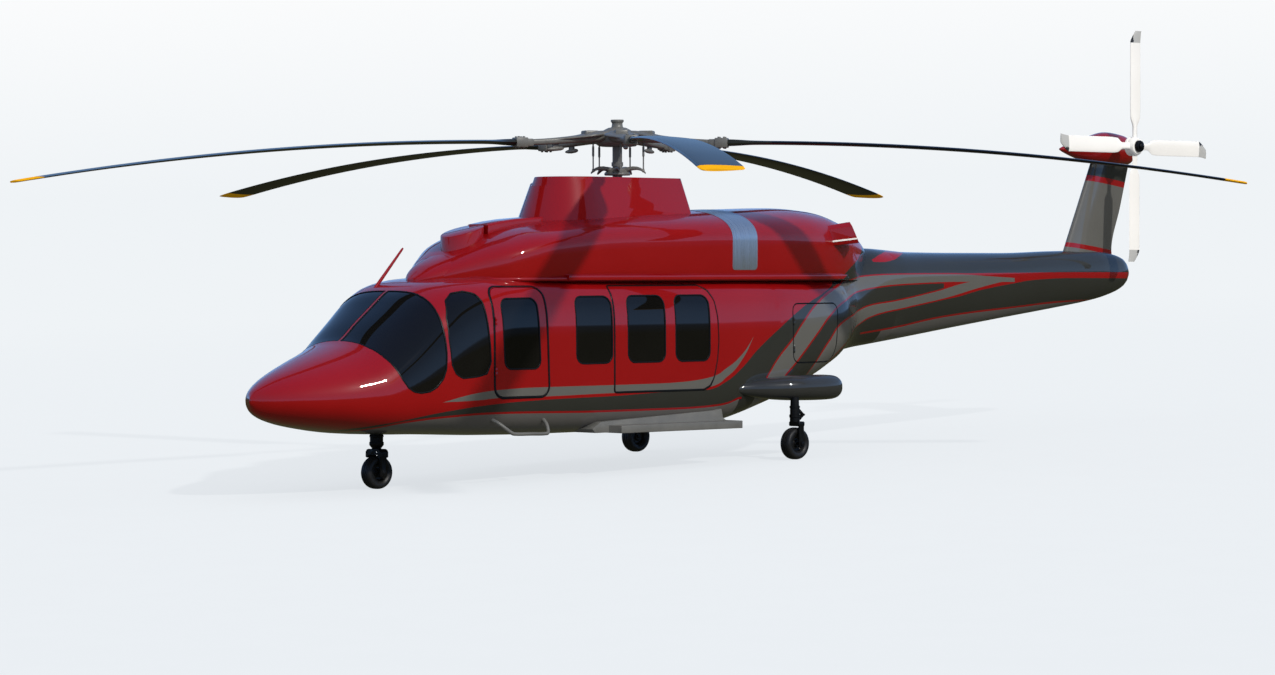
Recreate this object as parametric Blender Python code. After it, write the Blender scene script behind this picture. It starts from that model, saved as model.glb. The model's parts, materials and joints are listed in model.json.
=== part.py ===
"""Twin-engine transport helicopter with a five-blade main rotor, standing on its wheels.

Everything is modelled in a level frame: nose towards -Y, port side towards +X, mast on the Z axis.
One empty then turns the whole machine to the slightly nose-up way it stands on its wheels and
brings the centre of the belly hardpoint to the origin. Metres throughout.
"""
import math

import bmesh
import bpy
from mathutils import Matrix, Vector

# Driving dimensions
ROTOR_RADIUS = 8.305
BLADE_COUNT = 5
FIRST_BLADE_ANGLE = math.radians(53.5)
BLADE_STEP = 2 * math.pi / BLADE_COUNT
BLADE_CHORD = 0.54
BLADE_ROOT = 1.50
HUB_HEIGHT = 4.235
BLADE_DROOP = 0.0125
MAST_RADIUS = 0.065
GEARBOX_TOP = 3.19
TAIL_ROTOR_RADIUS = 1.751
TAIL_HUB = Vector((0.634, 10.269, 4.409))
TAIL_CHORD = 0.24
TAIL_SHAFT_END = 0.05
WALL = 0.05
BOOM_WALL = 0.022
SEAM = 0.0003
RUNNING_GAP = 0.003
SILL_HEIGHT = 0.93
ROOF_HEIGHT = 2.385
ROOF_HALF_WIDTH = 0.86
GLASS_DEPTH = 0.012
GLASS_THICKNESS = 0.014
NOSE_CONTACT = Vector((0.0, -4.1906, -0.2068))
MAIN_CONTACT = Vector((1.5416, 1.8182, 0.0))
NOSE_WHEEL_RADIUS = 0.210
MAIN_WHEEL_RADIUS = 0.215
TYRE_WIDTH = 0.16
HINGE_RADIUS = 0.016
HINGE_LENGTH = 0.05
HINGE_CLEARANCE = 0.006
HINGE_LEAF = 0.028
HINGE_DEPTH = 0.045
CREW_HINGE = Vector((1.222, -3.262))
BAGGAGE_HINGE = Vector((1.186, 2.175))
PAD_BOTTOM = 0.398
PAD_SIZE = 0.24

# The wheels' contact points lie on one floor, which fixes how far the nose is up
ATTITUDE = math.atan2(NOSE_CONTACT.z - MAIN_CONTACT.z, MAIN_CONTACT.y - NOSE_CONTACT.y)
UP = Vector((0.0, math.sin(ATTITUDE), math.cos(ATTITUDE)))

# Body sections: y, half width, bottom, waist, top, lower power, upper power
BODY = (
    (-6.20, 0.030, 0.905, 0.955, 1.00, 2.0, 2.0),
    (-6.16, 0.130, 0.830, 0.950, 1.06, 2.0, 2.0),
    (-6.05, 0.290, 0.750, 0.950, 1.145, 2.1, 2.0),
    (-5.86, 0.475, 0.680, 0.955, 1.25, 2.2, 2.0),
    (-5.60, 0.665, 0.620, 0.960, 1.36, 2.4, 2.05),
    (-5.30, 0.840, 0.570, 0.970, 1.475, 2.6, 2.1),
    (-5.00, 0.965, 0.530, 0.985, 1.585, 2.9, 2.2),
    (-4.80, 1.040, 0.510, 1.000, 1.670, 3.1, 2.3),
    (-4.55, 1.090, 0.500, 1.050, 1.880, 3.4, 2.5),
    (-4.30, 1.130, 0.490, 1.100, 2.080, 3.6, 2.8),
    (-4.03, 1.160, 0.485, 1.150, 2.285, 3.8, 3.2),
    (-3.75, 1.185, 0.475, 1.200, 2.390, 4.0, 3.9),
    (-3.40, 1.205, 0.460, 1.250, 2.440, 4.2, 4.7),
    (-3.00, 1.220, 0.445, 1.300, 2.460, 4.4, 5.3),
    (-2.00, 1.220, 0.430, 1.300, 2.460, 4.6, 5.5),
    (0.40, 1.220, 0.430, 1.300, 2.460, 4.6, 5.5),
    (1.00, 1.220, 0.480, 1.310, 2.460, 4.2, 5.5),
    (1.90, 1.200, 0.670, 1.360, 2.460, 3.3, 5.2),
    (2.40, 1.155, 0.800, 1.430, 2.460, 2.8, 4.8),
    (3.00, 1.070, 0.980, 1.560, 2.470, 2.4, 4.2),
    (3.45, 0.960, 1.140, 1.690, 2.480, 2.2, 3.6),
    (3.80, 0.780, 1.270, 1.790, 2.500, 2.2, 3.1),
    (4.10, 0.600, 1.370, 1.900, 2.600, 2.2, 2.7),
    (4.45, 0.535, 1.435, 1.990, 2.780, 2.2, 2.45),
    (4.80, 0.520, 1.475, 2.070, 2.850, 2.2, 2.3),
    (5.20, 0.500, 1.520, 2.130, 2.830, 2.2, 2.3),
    (5.63, 0.460, 1.570, 2.160, 2.800, 2.2, 2.2),
    (6.72, 0.390, 1.700, 2.230, 2.790, 2.1, 2.1),
    (7.84, 0.330, 1.830, 2.300, 2.790, 2.1, 2.1),
    (8.99, 0.270, 1.960, 2.380, 2.820, 2.1, 2.1),
    (9.94, 0.215, 2.080, 2.430, 2.830, 2.0, 2.0),
    (10.42, 0.165, 2.180, 2.470, 2.780, 2.0, 2.0),
    (10.71, 0.110, 2.290, 2.500, 2.700, 2.0, 2.0),
    (10.84, 0.030, 2.420, 2.490, 2.550, 2.0, 2.0),
)

# Where each form is cut into rings; the straight cabin needs few
BODY_RINGS = (
    -6.20, -6.16, -6.09, -5.98, -5.82, -5.60, -5.33, -5.09, -4.83, -4.55, -4.30, -4.06, -3.88, -3.65,
    -3.25, -2.90, 0.40, 1.00, 1.50, 1.95, 2.40, 2.85, 3.25, 3.60, 3.88, 4.15, 4.50, 5.05,
)
CABIN_HOLLOW_RINGS = (-6.02, -5.75, -5.30, -4.80, -4.42, -4.06, -3.70, -3.20, -2.85, 0.40, 1.05, 1.93)
REAR_HOLLOW_RINGS = (1.985, 2.45, 2.90, 3.35, 3.75, 4.10, 4.50, 5.10)
BOOM_RINGS = (5.05, 5.63, 6.72, 7.84, 8.99, 9.60, 10.10, 10.42, 10.62, 10.77, 10.84)
BOOM_HOLLOW_RINGS = (5.00, 5.63, 7.84, 9.60)
BOOM_START = 5.05

# Cowling over the engines: y, half width, bottom, waist, top, lower power, upper power
COWL = (
    (-3.66, 0.40, 2.00, 2.43, 2.47, 2.0, 2.4),
    (-3.58, 0.58, 2.00, 2.45, 2.58, 2.2, 2.4),
    (-3.40, 0.78, 2.00, 2.50, 2.75, 2.6, 2.4),
    (-3.13, 0.92, 2.00, 2.58, 2.90, 3.0, 2.4),
    (-2.62, 1.02, 2.00, 2.72, 3.09, 3.4, 2.4),
    (-2.00, 1.06, 2.00, 2.83, 3.19, 3.8, 2.4),
    (-1.00, 1.08, 2.00, 2.90, 3.27, 4.0, 2.4),
    (0.00, 1.09, 2.00, 2.92, 3.32, 4.0, 2.4),
    (1.00, 1.09, 2.00, 2.94, 3.35, 4.0, 2.4),
    (1.95, 1.07, 2.00, 2.94, 3.38, 4.0, 2.4),
    (2.74, 1.00, 2.00, 2.92, 3.40, 4.0, 2.4),
    (3.34, 0.88, 2.00, 2.90, 3.37, 3.8, 2.3),
    (3.80, 0.72, 2.00, 2.86, 3.28, 3.4, 2.2),
    (4.20, 0.53, 2.00, 2.80, 3.13, 3.0, 2.2),
    (4.50, 0.36, 2.00, 2.74, 2.94, 2.6, 2.2),
    (4.62, 0.26, 2.00, 2.70, 2.82, 2.4, 2.2),
)

# Fairing over the tail gearbox, same columns as the body
TAIL_POD = (
    (9.22, 0.015, 4.345, 4.36, 4.375, 2.0, 2.0),
    (9.32, 0.060, 4.310, 4.36, 4.41, 2.0, 2.0),
    (9.60, 0.130, 4.230, 4.36, 4.48, 2.0, 2.0),
    (9.95, 0.195, 4.165, 4.38, 4.58, 2.1, 2.1),
    (10.27, 0.225, 4.145, 4.39, 4.64, 2.2, 2.2),
    (10.60, 0.205, 4.140, 4.38, 4.61, 2.2, 2.2),
    (10.84, 0.140, 4.160, 4.36, 4.54, 2.1, 2.1),
    (10.94, 0.040, 4.260, 4.34, 4.42, 2.0, 2.0),
)

# Main gear sponson: y, centre x, half width, centre z, half height
SPONSON = (
    (1.00, 1.150, 0.050, 0.965, 0.060),
    (1.22, 1.220, 0.130, 0.965, 0.115),
    (1.50, 1.320, 0.250, 0.960, 0.162),
    (1.85, 1.400, 0.285, 0.955, 0.178),
    (2.25, 1.445, 0.250, 0.955, 0.178),
    (2.50, 1.470, 0.205, 0.955, 0.172),
    (2.63, 1.478, 0.165, 0.955, 0.145),
    (2.71, 1.482, 0.105, 0.955, 0.090),
    (2.735, 1.485, 0.030, 0.955, 0.025),
)

# Openings in the side, seen from the side: corners as (y, z), then the corner radius
WINDSCREEN = (((-4.80, 2.70), (-4.80, 1.47), (-4.70, 1.28), (-4.59, 1.07), (-4.43, 1.01), (-4.14, 1.12),
               (-4.02, 1.38), (-4.03, 2.03), (-4.02, 2.70)), 0.03)
QUARTER_WINDOW = (((-3.92, 1.19), (-3.36, 1.24), (-3.40, 2.26), (-3.83, 2.25), (-3.965, 2.02)), 0.10)
CREW_DOOR = (((-3.262, 0.955), (-2.37, 0.955), (-2.42, 2.325), (-3.262, 2.325)), 0.13)
CREW_WINDOW = (((-3.11, 1.30), (-2.50, 1.295), (-2.545, 2.195), (-3.15, 2.19)), 0.11)
CABIN_WINDOW = (((-1.885, 1.345), (-1.25, 1.345), (-1.25, 2.21), (-1.885, 2.21)), 0.12)
SLIDING_DOOR = (((-1.205, 0.965), (0.665, 0.965), (0.615, 2.340), (-1.205, 2.340)), 0.13)
DOOR_WINDOW_FRONT = (((-0.97, 1.345), (-0.295, 1.345), (-0.295, 2.215), (-0.97, 2.215)), 0.12)
DOOR_WINDOW_REAR = (((-0.105, 1.345), (0.53, 1.345), (0.53, 2.215), (-0.105, 2.215)), 0.12)
BAGGAGE_DOOR = (((2.175, 1.29), (3.15, 1.29), (3.22, 2.08), (2.175, 2.08)), 0.11)
CREW_HINGE_HEIGHTS = (1.22, 1.86)
BAGGAGE_HINGE_HEIGHTS = (1.42, 1.80)

# Colours as linear red, green, blue, then roughness and metallic
PALETTE = {
    "red_paint": ((0.46, 0.008, 0.014), 0.22, 0.1),
    "charcoal_paint": ((0.035, 0.036, 0.034), 0.28, 0.1),
    "grey_paint": ((0.15, 0.155, 0.15), 0.35, 0.1),
    "hub_grey": ((0.26, 0.265, 0.25), 0.45, 0.4),
    "white_paint": ((0.86, 0.86, 0.84), 0.3, 0.0),
    "blade_olive": ((0.030, 0.034, 0.020), 0.4, 0.0),
    "tinted_glass": ((0.012, 0.016, 0.020), 0.06, 0.0),
    "black_gear": ((0.016, 0.016, 0.017), 0.4, 0.3),
    "rubber": ((0.014, 0.014, 0.014), 0.75, 0.0),
    "rim_metal": ((0.05, 0.05, 0.052), 0.35, 0.7),
    "interior_grey": ((0.10, 0.10, 0.105), 0.7, 0.0),
    "seat_leather": ((0.06, 0.055, 0.05), 0.6, 0.0),
    "steel": ((0.32, 0.33, 0.34), 0.35, 0.9),
}

for old in list(bpy.data.objects):
    bpy.data.objects.remove(old)

parts = bpy.data.collections.new("helicopter")
cutters = bpy.data.collections.new("cutters")
bpy.context.scene.collection.children.link(parts)
bpy.context.scene.collection.children.link(cutters)

attitude = bpy.data.objects.new("attitude", None)
attitude.rotation_euler = (ATTITUDE, 0.0, 0.0)
attitude.location = -(Matrix.Rotation(ATTITUDE, 3, "X") @ Vector((0.0, 0.0, PAD_BOTTOM)))
parts.objects.link(attitude)

materials = {}
for key, (colour, roughness, metallic) in PALETTE.items():
    material = bpy.data.materials.new(key)
    material.use_nodes = True
    shader = material.node_tree.nodes["Principled BSDF"]
    shader.inputs["Base Color"].default_value = (*colour, 1.0)
    shader.inputs["Roughness"].default_value = roughness
    shader.inputs["Metallic"].default_value = metallic
    material.diffuse_color = (*colour, 1.0)
    materials[key] = material


def mesh_from(bm, name):
    """Turn a bmesh into a mesh with its faces pointing out."""
    bmesh.ops.recalc_face_normals(bm, faces=bm.faces)
    mesh = bpy.data.meshes.new(name)
    bm.to_mesh(mesh)
    bm.free()
    return mesh


def piece(name, mesh, material, smooth=0.6):
    """A finished sub-part of the helicopter."""
    obj = bpy.data.objects.new(name, mesh)
    mesh.materials.clear()
    mesh.materials.append(materials[material])
    if smooth:
        mesh.shade_smooth()
        mesh.set_sharp_from_angle(angle=smooth)
    parts.objects.link(obj)
    obj.parent = attitude
    return obj


def cutter(name, mesh):
    """A guide that only cuts or bounds other pieces."""
    obj = bpy.data.objects.new(name, mesh)
    cutters.objects.link(obj)
    obj.parent = attitude
    obj.hide_render = True
    obj.display_type = "WIRE"
    return obj


def combine(obj, other, operation="DIFFERENCE"):
    """Add one Boolean to a piece."""
    step = obj.modifiers.new(operation.lower() + " " + other.name, "BOOLEAN")
    step.operation = operation
    step.object = other
    step.solver = "EXACT"
    return obj


def freeze(obj, name):
    """The mesh of an object with its modifiers applied, in its own frame."""
    bpy.context.view_layer.update()
    graph = bpy.context.evaluated_depsgraph_get()
    mesh = bpy.data.meshes.new_from_object(obj.evaluated_get(graph))
    mesh.name = name
    return mesh


def set_origin(obj, point):
    """Put an object's origin on its joint's axis and leave its shape where it is."""
    obj.data.transform(Matrix.Translation(-point))
    obj.location = point
    return obj


def box_mesh(name, low, high, bevel=0.0):
    """A box between two corners, with its edges rounded if asked."""
    bm = bmesh.new()
    bmesh.ops.create_cube(bm, size=1.0)
    size = Vector(high) - Vector(low)
    centre = (Vector(high) + Vector(low)) / 2
    bmesh.ops.scale(bm, vec=size, verts=bm.verts)
    bmesh.ops.translate(bm, vec=centre, verts=bm.verts)
    if bevel:
        bmesh.ops.bevel(bm, geom=bm.edges, offset=bevel, segments=1, profile=0.5, affect="EDGES")
    return mesh_from(bm, name)


def rod_mesh(name, start, end, radius, end_radius=None, sides=12):
    """A round bar or cone between two points."""
    start = Vector(start)
    end = Vector(end)
    run = end - start
    bm = bmesh.new()
    bmesh.ops.create_cone(bm, cap_ends=True, segments=sides, radius1=radius,
                          radius2=radius if end_radius is None else end_radius, depth=run.length)
    turn = run.to_track_quat("Z", "Y").to_matrix().to_4x4()
    bmesh.ops.transform(bm, matrix=Matrix.Translation((start + end) / 2) @ turn, verts=bm.verts)
    return mesh_from(bm, name)


def turned_mesh(name, profile, sides):
    """A ring turned about X; profile is a closed list of (along, radius)."""
    bm = bmesh.new()
    rings = []
    for step in range(sides):
        angle = 2 * math.pi * step / sides
        ring = []
        for along_axis, radius in profile:
            ring.append(bm.verts.new((along_axis, radius * math.cos(angle), radius * math.sin(angle))))
        rings.append(ring)
    for step in range(sides):
        here = rings[step]
        there = rings[(step + 1) % sides]
        for k in range(len(profile)):
            n = (k + 1) % len(profile)
            bm.faces.new((here[k], here[n], there[n], there[k]))
    return mesh_from(bm, name)


def loft_mesh(name, rings):
    """A closed solid through rings of equal count, with triangles for sides and flat ends."""
    bm = bmesh.new()
    rows = [[bm.verts.new(spot) for spot in ring] for ring in rings]
    count = len(rows[0])
    for near, far in zip(rows, rows[1:]):
        for k in range(count):
            n = (k + 1) % count
            bm.faces.new((near[k], near[n], far[n]))
            bm.faces.new((near[k], far[n], far[k]))
    bm.faces.new(rows[0])
    bm.faces.new(rows[-1])
    return mesh_from(bm, name)


def rounded(corners, radius, steps=3):
    """Round the corners of a flat outline."""
    out = []
    count = len(corners)
    for k in range(count):
        here = Vector(corners[k])
        back = (Vector(corners[k - 1]) - here).normalized()
        ahead = (Vector(corners[(k + 1) % count]) - here).normalized()
        half = back.angle(ahead) / 2
        reach = radius / math.tan(half)
        centre = here + (back + ahead).normalized() * (radius / math.sin(half))
        first = here + back * reach - centre
        sweep = math.pi - 2 * half
        turn = -1.0 if back.x * ahead.y - back.y * ahead.x > 0 else 1.0
        for s in range(steps + 1):
            angle = turn * sweep * s / steps
            out.append(centre + Matrix.Rotation(angle, 2) @ first)
    return out


def grown(corners, amount):
    """Move every side of a flat outline outwards."""
    count = len(corners)
    area = 0.0
    for k in range(count):
        a = corners[k]
        b = corners[(k + 1) % count]
        area += a[0] * b[1] - b[0] * a[1]
    sign = 1.0 if area > 0 else -1.0
    out = []
    for k in range(count):
        here = Vector(corners[k])
        before = (here - Vector(corners[k - 1])).normalized()
        after = (Vector(corners[(k + 1) % count]) - here).normalized()
        normal_a = Vector((before.y, -before.x)) * sign
        normal_b = Vector((after.y, -after.x)) * sign
        mid = (normal_a + normal_b).normalized()
        out.append(here + mid * (amount / mid.dot(normal_a)))
    return out


def side_prism(name, shape, grow, x_low=-2.0, x_high=2.0):
    """A prism along X with a rounded side-view outline, as a filled curve made a mesh."""
    corners, radius = shape
    outline = rounded(grown(corners, grow), radius)
    curve = bpy.data.curves.new(name, "CURVE")
    curve.dimensions = "2D"
    curve.fill_mode = "BOTH"
    curve.extrude = (x_high - x_low) / 2
    line = curve.splines.new("POLY")
    line.points.add(len(outline) - 1)
    for point, spot in zip(line.points, outline):
        point.co = (spot.x, spot.y, 0.0, 1.0)
    line.use_cyclic_u = True
    holder = bpy.data.objects.new(name + " outline", curve)
    cutters.objects.link(holder)
    mesh = freeze(holder, name)
    bpy.data.objects.remove(holder)
    bm = bmesh.new()
    bm.from_mesh(mesh)
    bmesh.ops.remove_doubles(bm, verts=bm.verts, dist=0.00001)
    frame = Matrix(((0, 0, 1, (x_high + x_low) / 2), (1, 0, 0, 0), (0, 1, 0, 0), (0, 0, 0, 1)))
    bmesh.ops.transform(bm, matrix=frame, verts=bm.verts)
    return mesh_from(bm, name)


def along(table, y):
    """Smooth values of a section table at y, without overshoot between its rows."""
    if y <= table[0][0]:
        return table[0][1:]
    if y >= table[-1][0]:
        return table[-1][1:]
    i = max(k for k in range(len(table) - 1) if table[k][0] <= y)
    low = table[i]
    high = table[i + 1]
    span = high[0] - low[0]
    t = (y - low[0]) / span
    values = []
    for c in range(1, len(low)):
        slope = (high[c] - low[c]) / span
        slope_low = slope
        slope_high = slope
        if i > 0:
            before = (low[c] - table[i - 1][c]) / (low[0] - table[i - 1][0])
            slope_low = 2 * before * slope / (before + slope) if before * slope > 0 else 0.0
        if i + 2 < len(table):
            after = (table[i + 2][c] - high[c]) / (table[i + 2][0] - high[0])
            slope_high = 2 * after * slope / (after + slope) if after * slope > 0 else 0.0
        values.append(low[c] * (2 * t**3 - 3 * t**2 + 1) + high[c] * (3 * t**2 - 2 * t**3)
                      + span * (slope_low * (t**3 - 2 * t**2 + t) + slope_high * (t**3 - t**2)))
    return values


def section(table, y, steps=6, inset=0.0):
    """One ring of a superelliptic body, its points closer together round the corners."""
    width, bottom, waist, top, low_power, high_power = along(table, y)
    ring = []
    fine = 48
    for quarter in range(4):
        upper = quarter < 2
        height = top - waist if upper else waist - bottom
        power = high_power if upper else low_power
        curve = []
        for k in range(fine + 1):
            angle = (k / fine) * math.pi / 2
            if quarter in (1, 3):
                angle = math.pi / 2 - angle
            cos = max(math.cos(angle), 0.0)
            sin = max(math.sin(angle), 0.0)
            curve.append((width * cos ** (2 / power), height * sin ** (2 / power)))
        length = [0.0]
        heading = []
        for a, b in zip(curve, curve[1:]):
            length.append(length[-1] + math.hypot(b[0] - a[0], b[1] - a[1]))
            heading.append(math.atan2(b[1] - a[1], b[0] - a[0]))
        bend = [0.0]
        for k in range(1, fine + 1):
            bend.append(bend[-1] + (abs(heading[k] - heading[k - 1]) if k < fine else 0.0))
        measure = [length[k] / length[-1] + bend[k] / max(bend[-1], 1e-9) for k in range(fine + 1)]
        for j in range(steps):
            goal = 2.0 * j / steps
            k = max(q for q in range(fine) if measure[q] <= goal + 1e-12)
            share = (goal - measure[k]) / max(measure[k + 1] - measure[k], 1e-12)
            x = curve[k][0] + share * (curve[k + 1][0] - curve[k][0])
            z = curve[k][1] + share * (curve[k + 1][1] - curve[k][1])
            ring.append(Vector((x if quarter in (0, 3) else -x, y, waist + (z if upper else -z))))
    if inset:
        ring = shrunk(ring, inset)
    return ring


def shrunk(ring, inset):
    """Move a ring of points inwards in its own plane across Y; a negative inset grows it."""
    out = []
    count = len(ring)
    for k in range(count):
        step = ring[(k + 1) % count] - ring[k - 1]
        outward = Vector((step.z, 0.0, -step.x)).normalized()
        out.append(ring[k] - outward * inset)
    return out


def wall_at(y):
    """The body's wall, thin in the boom."""
    share = min(max((y - 2.0) / 2.6, 0.0), 1.0)
    return WALL + (BOOM_WALL - WALL) * share


def form_mesh(name, stations, inset=0.0, by_wall=False, steps=6):
    """The body as a solid through the given stations, moved in by inset, or by its wall as well."""
    rings = []
    for y in stations:
        rings.append(section(BODY, y, steps, wall_at(y) + inset if by_wall else inset))
    return loft_mesh(name, rings)


# The body's outer form and the hollows inside it, which bound almost everything else
seat_form = cutter("body seat", form_mesh("body seat", BODY_RINGS, -SEAM))
boom_seat = cutter("boom seat", form_mesh("boom seat", BOOM_RINGS, -SEAM, steps=5))
liner = cutter("cabin liner", form_mesh("cabin liner", CABIN_HOLLOW_RINGS, SEAM, by_wall=True))
skin_solid = cutter("skin solid", form_mesh("skin solid", BODY_RINGS))
combine(skin_solid, cutter("cabin hollow", form_mesh("cabin hollow", CABIN_HOLLOW_RINGS, by_wall=True)))
combine(skin_solid, cutter("rear hollow", form_mesh("rear hollow", REAR_HOLLOW_RINGS, by_wall=True)))
skin = freeze(skin_solid, "skin")
bpy.data.objects.remove(skin_solid)

# Panel lines of the body: name, material, low corner, high corner
half = SEAM / 2
PANELS = (
    ("nose_cap", "red_paint", (-2, -6.4, 0.2), (2, -5.05 - half, 3.0)),
    ("cockpit_frame", "red_paint", (-2, -5.05 + half, SILL_HEIGHT + half), (2, -3.31 - half, 3.0)),
    ("cabin_belly", "grey_paint", (-2, -5.05 + half, 0.2), (2, 1.90 - half, SILL_HEIGHT - half)),
    ("cabin_side_left", "red_paint", (ROOF_HALF_WIDTH + SEAM, -3.31 + half, SILL_HEIGHT + half),
     (2, 1.90 - half, ROOF_HEIGHT - SEAM)),
    ("cabin_side_right", "red_paint", (-2, -3.31 + half, SILL_HEIGHT + half),
     (-ROOF_HALF_WIDTH - SEAM, 1.90 - half, ROOF_HEIGHT - SEAM)),
    ("rear_fuselage", "charcoal_paint", (-2, 1.90 + half, 0.2), (2, BOOM_START - SEAM, 3.4)),
)
panel = {}
for name, material, low, high in PANELS:
    panel[name] = piece(name, skin.copy(), material)
    combine(panel[name], cutter(name + " bounds", box_mesh(name + " bounds", low, high)), "INTERSECT")

# The roof reaches down between the sides, so that neither ends in a feather edge
roof_outline = ((-2.0, 3.0), (-2.0, ROOF_HEIGHT), (-ROOF_HALF_WIDTH, ROOF_HEIGHT), (-ROOF_HALF_WIDTH, 1.8),
                (ROOF_HALF_WIDTH, 1.8), (ROOF_HALF_WIDTH, ROOF_HEIGHT), (2.0, ROOF_HEIGHT), (2.0, 3.0))
panel["cabin_roof"] = piece("cabin_roof", skin.copy(), "red_paint")
roof_bounds = loft_mesh("roof bounds", [[Vector((x, y, z)) for x, z in roof_outline]
                                        for y in (-3.31 + half, 1.90 - half)])
combine(panel["cabin_roof"], cutter("roof bounds", roof_bounds), "INTERSECT")

boom = piece("tail_boom", form_mesh("tail boom", BOOM_RINGS, steps=5), "charcoal_paint")
combine(boom, cutter("boom hollow", form_mesh("boom hollow", BOOM_HOLLOW_RINGS, by_wall=True, steps=5)))

# Openings: the cut in the panel, a little larger than what fills it
CREW_CUT = cutter("crew door opening", side_prism("crew door opening", CREW_DOOR, RUNNING_GAP))
SLIDE_CUT = cutter("sliding door opening", side_prism("sliding door opening", SLIDING_DOOR, 0.0))
BAGGAGE_CUT = cutter("baggage opening", side_prism("baggage opening", BAGGAGE_DOOR, RUNNING_GAP))
WINDOW_CUTS = {}
for name, shape in (("quarter", QUARTER_WINDOW), ("crew", CREW_WINDOW), ("cabin", CABIN_WINDOW),
                    ("front", DOOR_WINDOW_FRONT), ("rear", DOOR_WINDOW_REAR)):
    WINDOW_CUTS[name] = cutter(name + " window opening", side_prism(name + " window opening", shape, 0.0))
POST = 0.022
for side, x_low, x_high in (("left", POST, 2.0), ("right", -2.0, -POST)):
    WINDOW_CUTS["screen " + side] = cutter(
        "screen opening " + side, side_prism("screen opening " + side, WINDSCREEN, 0.0, x_low, x_high))

for key in ("screen left", "screen right", "quarter"):
    combine(panel["cockpit_frame"], WINDOW_CUTS[key])
for side in ("left", "right"):
    combine(panel["cabin_side_" + side], CREW_CUT)
    combine(panel["cabin_side_" + side], SLIDE_CUT)
    combine(panel["cabin_side_" + side], WINDOW_CUTS["cabin"])
combine(panel["rear_fuselage"], BAGGAGE_CUT)


def glazing(name, shape, side, x_low=0.3, x_high=2.0):
    """A pane that follows the skin a little below its surface."""
    sign = 1 if side == "left" else -1
    low, high = sorted((sign * x_low, sign * x_high))
    pane = piece(name, glass_skin.copy(), "tinted_glass")
    bounds = cutter(name + " bounds", side_prism(name + " bounds", shape, -SEAM, low, high))
    combine(pane, bounds, "INTERSECT")
    return pane


GLASS_RINGS = [y for y in BODY_RINGS if -5.4 < y < 1.2]
glass_solid = cutter("glass solid", form_mesh("glass solid", GLASS_RINGS, GLASS_DEPTH))
glass_inner = form_mesh("glass inner", GLASS_RINGS, GLASS_DEPTH + GLASS_THICKNESS)
combine(glass_solid, cutter("glass inner", glass_inner))
glass_skin = freeze(glass_solid, "glass skin")
bpy.data.objects.remove(glass_solid)

panes = {}
for side in ("left", "right"):
    panes["screen " + side] = glazing("windscreen_" + side, WINDSCREEN, side, POST + SEAM)
    panes["quarter " + side] = glazing("quarter_window_" + side, QUARTER_WINDOW, side)
    panes["crew " + side] = glazing("crew_door_window_" + side, CREW_WINDOW, side)
    panes["cabin " + side] = glazing("cabin_window_" + side, CABIN_WINDOW, side)
    panes["front " + side] = glazing("sliding_door_window_front_" + side, DOOR_WINDOW_FRONT, side)
    panes["rear " + side] = glazing("sliding_door_window_rear_" + side, DOOR_WINDOW_REAR, side)


def knuckle_mesh(name, x, y, low, high, sign, towards):
    """A hinge knuckle with its leaf; the leaf runs along Y, to the front or the back."""
    outline = []
    for k in range(9):
        angle = math.pi * k / 8
        outline.append((x + sign * HINGE_RADIUS * math.cos(angle),
                        y - towards * HINGE_RADIUS * math.sin(angle)))
    outline.append((x - sign * HINGE_RADIUS, y + towards * HINGE_CLEARANCE))
    outline.append((x - sign * HINGE_DEPTH, y + towards * HINGE_CLEARANCE))
    outline.append((x - sign * HINGE_DEPTH, y + towards * HINGE_LEAF))
    outline.append((x + sign * HINGE_RADIUS, y + towards * HINGE_LEAF))
    return loft_mesh(name, [[Vector((a, b, z)) for a, b in outline] for z in (low, high)])


def hinge_line(frame_piece, door_piece, spot, heights, sign):
    """Pairs of knuckles on one upright line: the lower one on the frame, the upper on the door."""
    x = spot.x * sign
    for number, z in enumerate(heights):
        tag = door_piece.name + " knuckle " + str(number)
        top = z + HINGE_LENGTH
        clear = HINGE_RADIUS + HINGE_CLEARANCE
        over = HINGE_CLEARANCE
        fixed = knuckle_mesh(tag + " fixed", x, spot.y, z, top, sign, -1)
        swung = knuckle_mesh(tag + " swung", x, spot.y, top + SEAM, top + HINGE_LENGTH, sign, 1)
        middle = (x, spot.y, top + SEAM / 2)
        room_fixed = rod_mesh(tag + " room fixed", (x, spot.y, z - over), middle, clear)
        room_swung = rod_mesh(tag + " room swung", middle, (x, spot.y, top + HINGE_LENGTH + over), clear)
        combine(frame_piece, cutter(tag + " room swung", room_swung))
        combine(frame_piece, cutter(tag + " fixed", fixed), "UNION")
        combine(door_piece, cutter(tag + " room fixed", room_fixed))
        combine(door_piece, cutter(tag + " swung", swung), "UNION")
    return door_piece


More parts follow.
